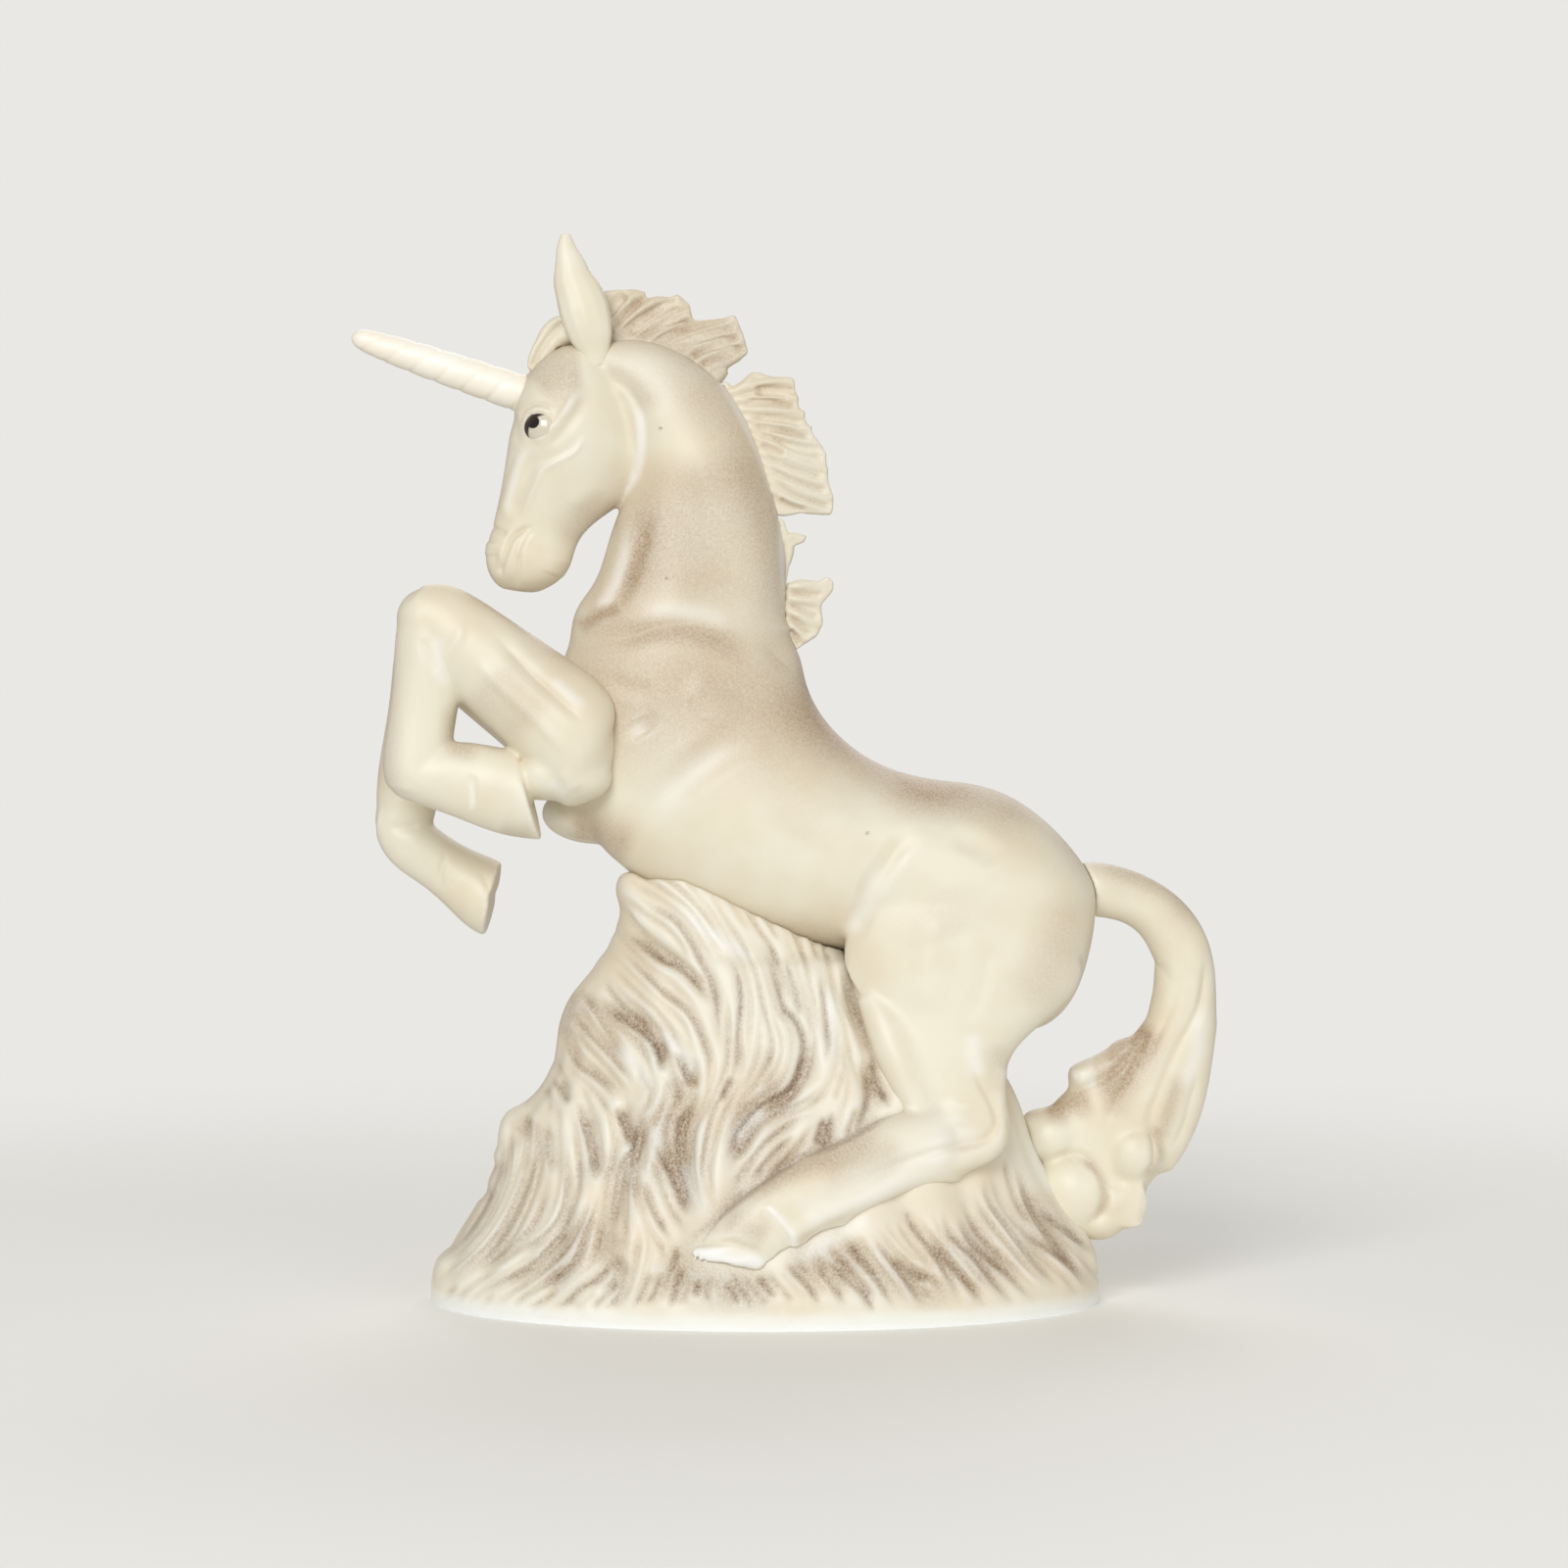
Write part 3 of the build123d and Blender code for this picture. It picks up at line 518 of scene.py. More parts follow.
@dataclass(frozen=True)
class Finish:
    """A fired and hand-stained surface, with painted shade and painted highlights among its colours."""

    name: str
    colour: str
    warm: str  # the colour of its broad, warm patches
    wash_and_shade: str  # the thin brown stain that is sprayed or wiped on, also used for painted shade
    wipe_and_highlight: str  # the bluish white where the stain was wiped off again, also used for painted highlights
    stain_and_shade: str  # what stays in the deepest grooves, also the colour of painted shade lines
    ink: str  # the dark enamel of painted lines
    roughness: float
    grain: float  # size of the fine grain, mm
    speckle: float  # how much the wash breaks up into specks, 0 to 1

    def material(self) -> bpy.types.Material:
        """Builds the material; it reads the attributes wash, chill, stain and ink of its piece.

        Returns:
            The material.
        """
        material = bpy.data.materials.new(self.name)
        tree = empty_tree(material)
        place = add_node(tree, "ShaderNodeTexCoord").outputs["Object"]
        patches = add_node(tree, "ShaderNodeTexNoise", {"Vector": place, "Scale": 1 / (PATCH_SIZE * MM),
                                                        "Detail": 3.0, "Roughness": 0.55})
        warm = add_node(tree, "ShaderNodeMapRange", {"Value": patches.outputs["Fac"],
                                                     "From Min": PATCH_EDGES[0], "From Max": PATCH_EDGES[1]})
        specks = add_node(tree, "ShaderNodeTexNoise", {"Vector": place, "Scale": 1 / (self.grain * MM),
                                                       "Detail": 4.0, "Roughness": 0.7})
        grit = add_node(tree, "ShaderNodeMapRange", {"Value": specks.outputs["Fac"],
                                                     "From Min": GRAIN_EDGES[0], "From Max": GRAIN_EDGES[1],
                                                     "To Min": 1 - self.speckle, "To Max": 1.0})
        colour = mix_colours(tree, warm.outputs["Result"], linear(self.colour), linear(self.warm))
        # the attributes mix in sprayed stain with painted shade, wiped white with painted highlight, groove
        # stain with painted shade lines, and ink
        for attribute, shade in (("wash_and_shade", self.wash_and_shade), ("wipe_and_highlight", self.wipe_and_highlight), ("stain_and_shade", self.stain_and_shade),
                                 ("ink", self.ink)):
            amount = add_node(tree, "ShaderNodeAttribute", attribute_name=attribute).outputs["Fac"]
            if attribute in ("wash_and_shade", "stain_and_shade"):
                amount = add_node(tree, "ShaderNodeMath", {0: amount, 1: grit.outputs["Result"]},
                                  operation="MULTIPLY").outputs["Value"]
            colour = mix_colours(tree, amount, colour, linear(shade))
        bump = add_node(tree, "ShaderNodeBump", {"Height": specks.outputs["Fac"], "Strength": 0.12,
                                                 "Distance": GRAIN_RELIEF * MM})
        surface = add_node(tree, "ShaderNodeBsdfPrincipled", {
            "Base Color": colour, "Roughness": self.roughness, "IOR": CERAMIC_IOR,
            "Normal": bump.outputs["Normal"],
        })
        add_node(tree, "ShaderNodeOutputMaterial", {"Surface": surface.outputs["BSDF"]})
        return material


def linear(colour: str) -> tuple[float, float, float, float]:
    """Turns an sRGB hex colour into linear numbers."""
    parts = [int(colour[k : k + 2], 16) / 255 for k in (1, 3, 5)]
    return (*(c / 12.92 if c <= 0.04045 else ((c + 0.055) / 1.055) ** 2.4 for c in parts), 1.0)


def empty_tree(owner: bpy.types.Material | bpy.types.World) -> bpy.types.NodeTree:
    """Gives a material, or the world, a node tree that holds nothing yet."""
    owner.use_nodes = True
    owner.node_tree.nodes.clear()
    return owner.node_tree


def add_node(
    tree: bpy.types.NodeTree, kind: str, sockets: dict[str | int, object] | None = None, **settings: object
) -> bpy.types.Node:
    """Adds a shader node.

    Args:
        tree: the material's node tree.
        kind: Blender's name for the node.
        sockets: for each input socket a value, or the output socket that is linked to it.
        settings: the node's own settings.

    Returns:
        The node.
    """
    node = tree.nodes.new(kind)
    for key, value in settings.items():
        setattr(node, key, value)
    for key, value in (sockets or {}).items():
        if isinstance(value, bpy.types.NodeSocket):
            tree.links.new(value, node.inputs[key])
        else:
            node.inputs[key].default_value = value
    return node


def mix_colours(
    tree: bpy.types.NodeTree, share: object, first: object, second: object
) -> bpy.types.NodeSocket:
    """Mixes two colours by a share, and gives the socket of the result."""
    sockets = {0: share, 6: first, 7: second}  # where the node takes its share and its two colours
    return add_node(tree, "ShaderNodeMix", sockets, data_type="RGBA").outputs[2]


# Lines of the side view

COLLAR: Path = ((-42.6, 136.2), (-37.2, 139.8), (-33, 141.2))  # the fold at the foot of the throat
HOOF_LENS: Path = ((-20.6, 9.1), (-16, 8.4), (-11, 7.9), (-6.5, 7.2), (-3.4, 6.2))  # the hoof's sole
# Lids, cheek, jaw, mouth and nostrils
HEAD_STROKES = (
    Stroke(1.7, 0.45, ((-52.6, 174.4), (-53.6, 171.8), (-54.8, 168.8), (-56, 164.8), (-57, 161.4),
        (-57.4, 158.6))),
    Stroke(2, -0.35, ((-50.4, 173.4), (-52, 170), (-53.4, 165.6), (-54.6, 161.6), (-55.4, 158.6))),
    Stroke(1.9, 0.45, ((-42, 186.6), (-42.8, 184.2), (-44, 181.6), (-45.4, 179.6), (-46.8, 177.4),
        (-49.2, 175.2), (-52, 174))),
    Stroke(2.4, -0.35, ((-40, 185), (-41.6, 181.8), (-43.6, 179), (-46, 176), (-48.8, 173.6))),
    Stroke(1.4, 0.40, ((-39.4, 177.6), (-42.8, 172.8), (-46.8, 170.6), (-49.4, 169), (-50.8, 165.8),
        (-54, 158.4)), Profile.CREASE),
    Stroke(2.4, -0.25, ((-42, 176.6), (-45.2, 172.6), (-49, 171), (-51.8, 168.6), (-53.2, 164))),
    Stroke(3, 0.25, ((-37.4, 167), (-40.8, 163.6), (-44, 161.4))),
    Stroke(3.6, 0.50, ((-37.6, 188), (-33.6, 186.2), (-30.8, 183.4), (-29.2, 179.8), (-28.8, 174.4),
        (-29.8, 169.4), (-32, 166), (-34, 164.4)), Profile.STEP),
    Stroke(1.6, -0.45, ((-33.6, 186.2), (-30.8, 183.4), (-29.2, 179.8), (-28.8, 174.4), (-29.8, 169.4),
        (-32, 166)), Profile.CREASE),
    Stroke(1.1, -0.75, ((-50.6, 157.8), (-53.8, 156.6), (-55.8, 154.8), (-56.8, 152.2), (-57.8, 148.8),
        (-57.4, 146.6)), Profile.CREASE),
    Stroke(1, -0.45, ((-50.8, 157.4), (-52.4, 155), (-53.8, 151.6), (-54.4, 146.8),
        (-53.8, 144.2)), Profile.CREASE),
    Stroke(1.3, 0.30, ((-51.4, 156.2), (-53.2, 153.8), (-54.6, 151))),
    Stroke(1.6, -0.40, ((-59.4, 153.8), (-59, 150.4), (-58, 147.6))),
    Stroke(1.2, -0.45, ((-60.2, 157.8), (-58.4, 156.8), (-56.4, 156)), Profile.CREASE),
    Stroke(2.4, 0.35, ((-60, 154.6), (-60, 151.4))),
    Stroke(4, 0.30, ((-46, 151.8), (-47.6, 147.4))),
    Stroke(0.9, -0.35, ((-53.6, 177.8), (-53.4, 180.6), (-51.8, 182.2), (-49.6, 182.6),
        (-46.8, 181.4)), Profile.CREASE),
    Stroke(1.2, 0.35, ((-52.6, 176.2), (-53, 178.2), (-52.2, 180.2), (-50.4, 181.4), (-48.4, 181),
        (-46.8, 179.6))),
    Stroke(1, 0.30, ((-52.2, 175.6), (-50.2, 175.4), (-48, 177.2), (-46.6, 179.4))),
    Stroke(1.6, -0.30, ((-55.2, 181), (-54.8, 177), (-54.2, 174))),
)
# The windpipe, its furrow and the crest
NECK_STROKES = (
    Stroke(2.6, 0.5, ((-31.2, 161), (-32.8, 154), (-35.2, 147), (-38, 141), (-40, 137.6))),
    Stroke(2.2, -0.6, COLLAR, Profile.CREASE, 0.3),
    Stroke(2.2, -0.35, ((-27.6, 161), (-29, 154), (-31.6, 146.6), (-34.6, 139.4))),
    Stroke(7, 0.50, ((-20, 177), (-11, 165), (-5.6, 151), (-3.6, 137))),
    Stroke(8, -0.40, ((-22, 169), (-17.6, 157), (-15.6, 145), (-17, 135))),
)
# The fold at the root of the neck, the shoulder, the ribs and the flank
TORSO_STROKES = (
    Stroke(3.6, -0.55, ((-40, 134), (-35, 134.2), (-30, 135.6), (-24, 137.6), (-17, 137.4),
        (-10, 135)), Profile.CREASE, 0.4),
    Stroke(3, -0.45, ((-5, 133.6), (-1, 131), (2.4, 127.4)), Profile.CREASE, 0.4),
    Stroke(5.6, -0.95, ((-3, 116), (-13, 111.4), (-20, 106.6), (-25.6, 101), (-31, 94)),
        taper=0.4),
    Stroke(5, -0.55, ((-30, 118.4), (-28, 115))),
    Stroke(3, -0.25, ((-36.8, 127), (-32, 124.6), (-26.4, 123.8))),
    Stroke(3.4, -0.95, ((28.4, 95), (23.6, 92.6), (20.6, 88.6), (17.6, 84), (16, 79), (12.4, 71))),
    Stroke(4, -0.50, ((33.6, 95), (39, 92.6), (44.4, 88.6))),
    Stroke(7, 0.50, ((0, 105), (10, 99), (12, 89), (4, 81))),
    Stroke(6, 0.50, ((-20, 127), (-14, 121), (-13, 116))),
    Stroke(5, 0.40, ((-32, 105), (-35, 97), (-32, 89))),
    Stroke(2.5, -0.45, ((-46.8, 101.8), (-43, 97.4), (-37.6, 93)), Profile.CREASE),
)
# Tendon, pastern, hoof and haunch
HIND_STROKES = (
    Stroke(1.9, -0.60, ((38.6, 53), (39.4, 46), (42.6, 39.6), (43.4, 35.4), (40.4, 32.4), (34, 30.8),
        (26, 28.4), (19, 25.4), (13, 22.4)), Profile.CREASE),
    Stroke(2.4, -0.5, ((-4.4, 18.8), (-1.5, 15.9), (0.9, 12.7), (2, 9.4)), Profile.STEP, 0.15),
    Stroke(3.2, 0.6, HOOF_LENS, taper=0.1),
    Stroke(1.3, -0.55, ((-21, 9.9), (-17.8, 10.9), (-12.7, 11.4), (-8.5, 10.8), (-5.2, 9), (-2.6, 7)),
        Profile.CREASE, 0.1),
    Stroke(6, 0.60, ((32, 81), (30, 69), (29, 57))),
    Stroke(3, -0.40, ((42, 73), (40, 63), (37, 56))),
    Stroke(4, 0.50, ((36, 41), (35, 35))),
)
# Elbow, knee and hoof
LEFT_FORE_STROKES = (
    Stroke(2.6, -0.85, ((-60, 136.6), (-55, 131.4), (-51, 127), (-45, 121.6),
        (-40, 116.6)), Profile.CREASE),
    Stroke(2, 0.35, ((-64, 131.4), (-58, 125), (-50, 117.4), (-43, 110))),
    Stroke(1.6, -0.40, ((-74, 135), (-72.4, 131), (-70.6, 127)), Profile.CREASE),
    Stroke(1.2, -0.40, ((-64, 107.4), (-63.2, 104.4), (-63.6, 100.6)), Profile.CREASE),
    Stroke(2, 0.30, ((-66, 138.6), (-66.4, 135), (-69.2, 131), (-70.2, 126))),
    Stroke(2.6, 0.35, ((-46, 108), (-42, 103.6))),
)
RIGHT_FORE_STROKES = (
    Stroke(1.2, -0.40, ((-68.6, 91.4), (-70, 87.4), (-70, 83)), Profile.CREASE),
    Stroke(1.6, -0.40, ((-62.4, 88.6), (-60, 83), (-58, 76)), Profile.CREASE),
    Stroke(1.8, -0.35, ((-80.4, 97), (-77.6, 95.8), (-74.4, 97)), Profile.CREASE),
)
# A painted shade line on the hind leg, under the edge of the grass that stands proud over it
LEG_EDGE_SHADE = Stroke(1.1, 0.55, ((-21.5, 10), (-13.7, 16.3), (-8, 20.6), (0.6, 26.9), (3.5, 29.2),
    (9.2, 30.6), (15.3, 33.6), (20.2, 36.6), (23.3, 38.8)), taper=0.15)
# The strands of the switch, and the edges of its curls
TAIL_STROKES = (
    Stroke(1.9, -0.80, ((86.4, 70.4), (85, 60), (80.4, 51.4), (77, 43.4), (74.6, 36.6), (75.8, 31.4),
        (75.6, 27.4), (73.6, 24.8), (70.6, 24.4)), Profile.CREASE, 0.15),
    Stroke(1.7, -0.50, ((74.6, 56), (71.2, 46.8), (67.2, 39.4), (65.6, 34.4)), Profile.CREASE),
    Stroke(1.7, -0.60, ((74.6, 55), (67.8, 46.8), (60.8, 43), (57.4, 42)), Profile.CREASE),
    Stroke(1.8, -0.80, ((54.6, 27.6), (59.4, 29.6), (63.6, 27), (65.6, 22), (64.6, 17), (61.4, 14.6)),
        Profile.CREASE, 0.15),
    Stroke(1.5, -0.50, ((48.4, 37.8), (49.8, 32.6), (50.8, 26.8), (52.2, 21.2)), Profile.CREASE),
    Stroke(2.2, -0.45, ((49, 77), (58, 75.4), (68, 73), (76, 68), (81, 62)),
        Profile.CREASE),
    Stroke(2, -0.30, ((54, 68), (62, 66.6), (70, 62.6), (75, 57)), Profile.CREASE),
    Stroke(1.6, -0.40, ((85, 47), (83.2, 41), (81.6, 35), (79, 30)), Profile.CREASE),
    Stroke(2.2, -0.35, ((82, 73), (80, 62), (75.6, 52), (71, 42)), Profile.CREASE),
    Stroke(3, 0.50, ((64, 48), (58, 45))),
    Stroke(4.2, -1.90, ((80.6, 23.8), (77, 22.6), (75.8, 18), (74.8, 13.6)), taper=0.2),
)
# Between the large locks of grass
DEEP_GROOVES: tuple[Path, ...] = (
    ((-33.2, 76.8), (-32.2, 74.4), (-26.2, 69.8), (-20.8, 67), (-16.2, 62), (-15.2, 59.2)),
    ((-38.2, 63.2), (-35.4, 58.6), (-30.4, 55.4), (-26.8, 52.2), (-25, 48.2), (-24.4, 45.4)),
    ((-16.8, 43.8), (-18.6, 39.6), (-21, 36.2), (-21.6, 31.6), (-21, 26.2), (-19.4, 20.4),
        (-16.8, 17.4)),
    ((3.8, 51), (3.2, 46.8), (1.2, 43), (-2.2, 40.8), (-6, 38.4), (-9, 34.6),
        (-10.6, 30.8), (-12.8, 26.2)),
    ((-50.2, 38.6), (-50.4, 33.8), (-50.6, 28.2), (-52.2, 22.2), (-54, 17.8), (-56.2, 13.8),
        (-59.2, 9.8), (-63, 6), (-66.6, 3)),
    ((-41.4, 20), (-44.4, 14.8), (-48.2, 10.4), (-51, 7.4), (-54.8, 5), (-59.2, 2.4),
        (-61.8, 0)),
    ((-27.4, 38.6), (-29.6, 34.8), (-30.8, 30.8), (-33.4, 27), (-34.4, 22.2), (-35.2, 15.2),
        (-34.4, 10.4)),
    ((-34.8, 39.4), (-33, 35.6), (-31.4, 30.4)),
    ((11.4, 68.8), (13.6, 61.4), (16.8, 52.2), (19.6, 45.4)),
    ((-27, 31.6), (-24.4, 27.8), (-22.8, 24.6), (-21.2, 20), (-19.4, 16.2)),
    ((-42.6, 40.8), (-41.4, 36.8), (-39.2, 28.2), (-38.4, 23.8)),
    ((17.4, 50.8), (19.2, 43), (22, 38.4)),
    ((-6, 73.4), (-2.8, 68.4), (-0.2, 59.6), (2.2, 56.8), (3.8, 52.2), (3, 46.8),
        (0.4, 42.2), (-3.8, 39.4)),
)
# Between the blades
GROOVES: tuple[Path, ...] = (
    ((-31.8, 83.4), (-26.2, 79.4), (-21.8, 76.6), (-17.2, 69.2), (-14, 61.4), (-13, 49.6)),
    ((-34.8, 73), (-30, 67.8), (-24.4, 62.4), (-19.8, 58.6), (-17.2, 54.2), (-15.2, 47.6),
        (-17.2, 40.4)),
    ((-42, 64.6), (-38.2, 57.8), (-34.6, 52.2), (-31.8, 47.6)),
    ((-44.2, 59.6), (-40, 54.2), (-35, 49), (-30, 43)),
    ((-45.2, 56), (-42.8, 48.6), (-38.2, 45), (-33.6, 40.4)),
    ((-47.4, 45.4), (-43.8, 39.4)),
    ((-12.6, 71.6), (-9.8, 67), (-8.8, 61.4), (-9.4, 54.2), (-9.8, 47.6), (-11.6, 43)),
    ((-0.2, 70.6), (2.2, 63.2), (3.6, 56.8)),
    ((7.2, 67), (8.2, 59.6), (9, 52.2), (8.2, 47.6)),
    ((-10.6, 45.8), (-13, 40.4)),
    ((-26.6, 53), (-25.6, 50), (-25.2, 46.2)),
    ((-22.8, 50.8), (-20.2, 46.2), (-19, 42.4)),
    ((-9.4, 45.8), (-11.8, 42.6), (-14.4, 38.4), (-15.2, 35.4), (-16, 31.6), (-16.8, 25.4),
        (-15.6, 18.6)),
    ((7.8, 43.8), (5.4, 41.2), (1.6, 39.2), (-3, 37), (-6, 34.6), (-9, 30), (-12.2, 24.6)),
    ((7, 37.6), (2.4, 36.6), (-2.2, 33.2), (-6, 29.2), (-9, 25.4), (-11.4, 22.4)),
    ((2.4, 33.8), (-1.4, 30.4), (-5.2, 26.2), (-7.6, 23.2)),
    ((8.2, 37.6), (7, 33.2), (6.2, 30.8)),
    ((10, 38.4), (8.6, 33.2), (7.8, 30)),
    ((15.4, 49.2), (17, 41.6), (15.8, 37), (14, 32.4)),
    ((-27.4, 38.4), (-29.8, 35.4), (-30.8, 30), (-30.8, 24), (-29.8, 16.2)),
    ((-29.4, 24.6), (-27.4, 19.4), (-24.4, 14), (-22.4, 12.4)),
    ((-51.8, 30.8), (-53, 25.2), (-55.2, 19.4), (-57.8, 14.6), (-61, 10.4), (-65.4, 6.4),
        (-69.2, 2.4)),
    ((-57, 34.4), (-57.8, 26), (-60, 20), (-63, 14.8), (-66.2, 10.8), (-69.6, 7.8)),
    ((-47.8, 25.2), (-49.6, 19.4), (-51.8, 14.8), (-55.6, 10.4), (-59.2, 7.8), (-63.6, 4.6)),
    ((-44.4, 32), (-44.4, 26.4), (-44.8, 20), (-46.6, 15.6), (-50, 12.2), (-54, 10),
        (-57.8, 7.4)),
    ((-37.8, 23), (-38.8, 17.8), (-40.8, 13.4), (-42.2, 9), (-44.4, 6), (-48.2, 3),
        (-53.2, -0.6)),
    ((-34.4, 10.4), (-35.6, 6.8), (-38.4, 3.8), (-41.4, 2), (-44.8, -1), (-48.2, -2.8)),
    ((-33.4, 9.8), (-34.8, 3.8), (-37.8, 1.2)),
    ((-32.2, 8.6), (-33, 2.4), (-34.8, -0.6), (-37, -2.8)),
    ((-27, 6), (-28.8, 1.6), (-31, -2.4)),
    ((-24.8, 6), (-26.2, 1.6), (-28.6, -2.2)),
    ((-20.8, 7.4), (-22.2, 2.4), (-23.4, -2.4)),
    ((-17.4, 4.2), (-18.6, 0)),
    ((-48.2, 36.4), (-48.2, 30.8), (-47.4, 25.2)),
    ((-12.2, 3.8), (-9.8, -0.2), (-8.8, -1.6)),
    ((-6, 4.8), (-1.4, -0.2)),
    ((-0.4, 7.6), (4.2, 3.2), (8, -1.8)),
    ((5.2, 7.6), (9.2, 3.2), (13.2, -1.8)),
    ((8, 8.8), (12, 4.4), (16, 1), (19.2, -4.2)),
    ((12, 12.8), (16, 7.6), (19.2, 3.2), (23.2, -3)),
    ((17.6, 13.2), (21, 8.8), (24.8, 3.8), (29.4, -2.4)),
    ((21.6, 8.8), (26.6, 4.8), (30, 3.2)),
    ((23.8, 19.4), (26, 15), (29.4, 10.4), (32.8, 5.4), (36.6, -1.8)),
    ((28.8, 12.2), (33.8, 6.6), (41.8, -2.4)),
    ((32.2, 19), (33.8, 13.2), (39, 8.2), (43.4, 2.6), (48.4, -2.2)),
    ((35, 17.8), (38.4, 11.6), (45.2, 5.4), (49.6, 1), (53, -1.4)),
    ((40.6, 25.6), (41.8, 20), (46.2, 13.8), (51.2, 7.2), (57.4, 1.4)),
    ((47.4, 27.4), (49.6, 20), (53.6, 13.2), (59.6, 6.6), (63, 2.6)),
    ((47.4, 13.8), (52.4, 11), (58.6, 6.6), (62.4, 1.4)),
    ((51.2, 18.8), (56.8, 14.4), (61.4, 11), (63.8, 8.8)),
)
GRASS_AREA: Path = ((-34.4, 87.4), (-30, 89), (-24.4, 88.6), (-18, 87.4), (-12, 85.2),
    (-6, 83.2), (0, 81.2), (6, 79.4), (13, 77.6), (16.8, 59), (23.4, 45), (23.4, 37.6),
    (17.8, 33.8), (11.6, 30.4), (6.2, 29.8), (3.6, 29.2), (-0.2, 25.8), (-5.2, 22.4), (-9, 20),
    (-12.8, 17.4), (-16.6, 14.4), (-22, 9.8), (-20, 5.8), (-2, 5.8), (1.6, 8.6), (10, 12.6),
    (26, 17.8), (37, 22), (43, 26), (45.6, 33), (46.8, 42.6), (48.4, 29), (51, 18.6),
    (56, 13.8), (65.6, 9), (70, -1), (-72, -4), (-72.8, 5), (-60, 25),
    (-57.6, 37), (-51, 41), (-48, 53), (-38, 67))
GROOVE_TAPER = 0.3
Marks = tuple[tuple[tuple[Path, ...], float, float, Profile], ...]  # lines, width, depth and profile
# How the grooves are pressed in, where the stain stays in them, and where it is sprayed along them
GROOVE_MARKS: Marks = (
    (DEEP_GROOVES, 5.4, -0.75, Profile.ROUND),
    (DEEP_GROOVES, 2.2, -0.9, Profile.CREASE),
    (DEEP_GROOVES, 4.6, 0.5, Profile.STEP),
    (GROOVES, 2.1, -0.85, Profile.CREASE),
    (GROOVES, 4, 0.3, Profile.STEP),
)
GROOVE_LINES: Marks = ((DEEP_GROOVES, 1, 0.55, Profile.ROUND), (GROOVES, 0.9, 0.42, Profile.ROUND))
GROOVE_WASHES: Marks = ((DEEP_GROOVES, 3.4, 0.2, Profile.ROUND), (GROOVES, 2.4, 0.22, Profile.ROUND))
# Where brown is sprayed, partly as painted shade, and bluish white brushed on, partly as painted highlight,
# with shares for depths
BODY_WASH_AND_SHADE = (
    Stroke(24, 0.55, ((-20, 175), (-19, 157), (-21, 139))),
    # painted shade on the throat below the head
    Stroke(10, 0.35, ((-27, 167), (-29, 153), (-33.6, 139), (-36, 131))),
    Stroke(27, 0.6, ((-34, 124), (-20, 124), (-4, 122)), taper=0),
    Stroke(4.4, 0.45, ((-33.6, 132.4), (-29.8, 134.8), (-23.7, 136), (-17.6, 135.6), (-11.5, 133.2),
        (-6, 129.2)), taper=0.35),
    Stroke(2.8, 0.5, COLLAR, taper=0.2),
    # painted shade in the throat's valley below the head
    Stroke(3.6, 0.42, ((-28, 162), (-29.2, 153), (-31.6, 146), (-34.6, 139.6)), taper=0.35),
    Stroke(9, 0.35, ((20, 105), (34, 104), (44, 101), (52, 95))),
    Stroke(5, 0.35, ((26, 31), (16, 27.5), (6, 23.6))),
    Stroke(6, 0.45, ((-13, 15.6), (-7, 14), (-2.6, 12))),
    Stroke(16, 0.15, ((30, 84), (34, 72))),
    Stroke(11, 0.5, ((0, 129), (10, 117), (26, 108), (42, 105))),
    Stroke(10, 0.5, ((-32, 190), (-20, 187), (-9.6, 175), (-3, 159), (0, 143),
        (1.2, 132))),
    Stroke(10, 0.55, ((-40, 188), (-45, 187), (-50, 183.6))),
    Stroke(9, 0.35, ((57.6, 85), (56, 73), (49, 57))),
    Stroke(5, 0.25, ((43, 53), (44.6, 41))),
    # painted shade on the belly where it meets the mound
    Stroke(6, 0.4, ((-20, 80), (-8, 76), (6, 74), (16, 70))),
    Stroke(5, 0.5, ((22, 36), (14, 31), (0, 25), (-10, 19))),
    Stroke(7, 0.6, ((-45, 97), (-38, 95), (-30, 91))),
    Stroke(5, 0.3, ((-25.6, 180), (-32, 189), (-38, 191.4))),
    Stroke(6, 0.35, ((-32, 160), (-40, 159.4), (-46, 153))),
    Stroke(14, 0.12, ((2, 92), (8, 104))),
)
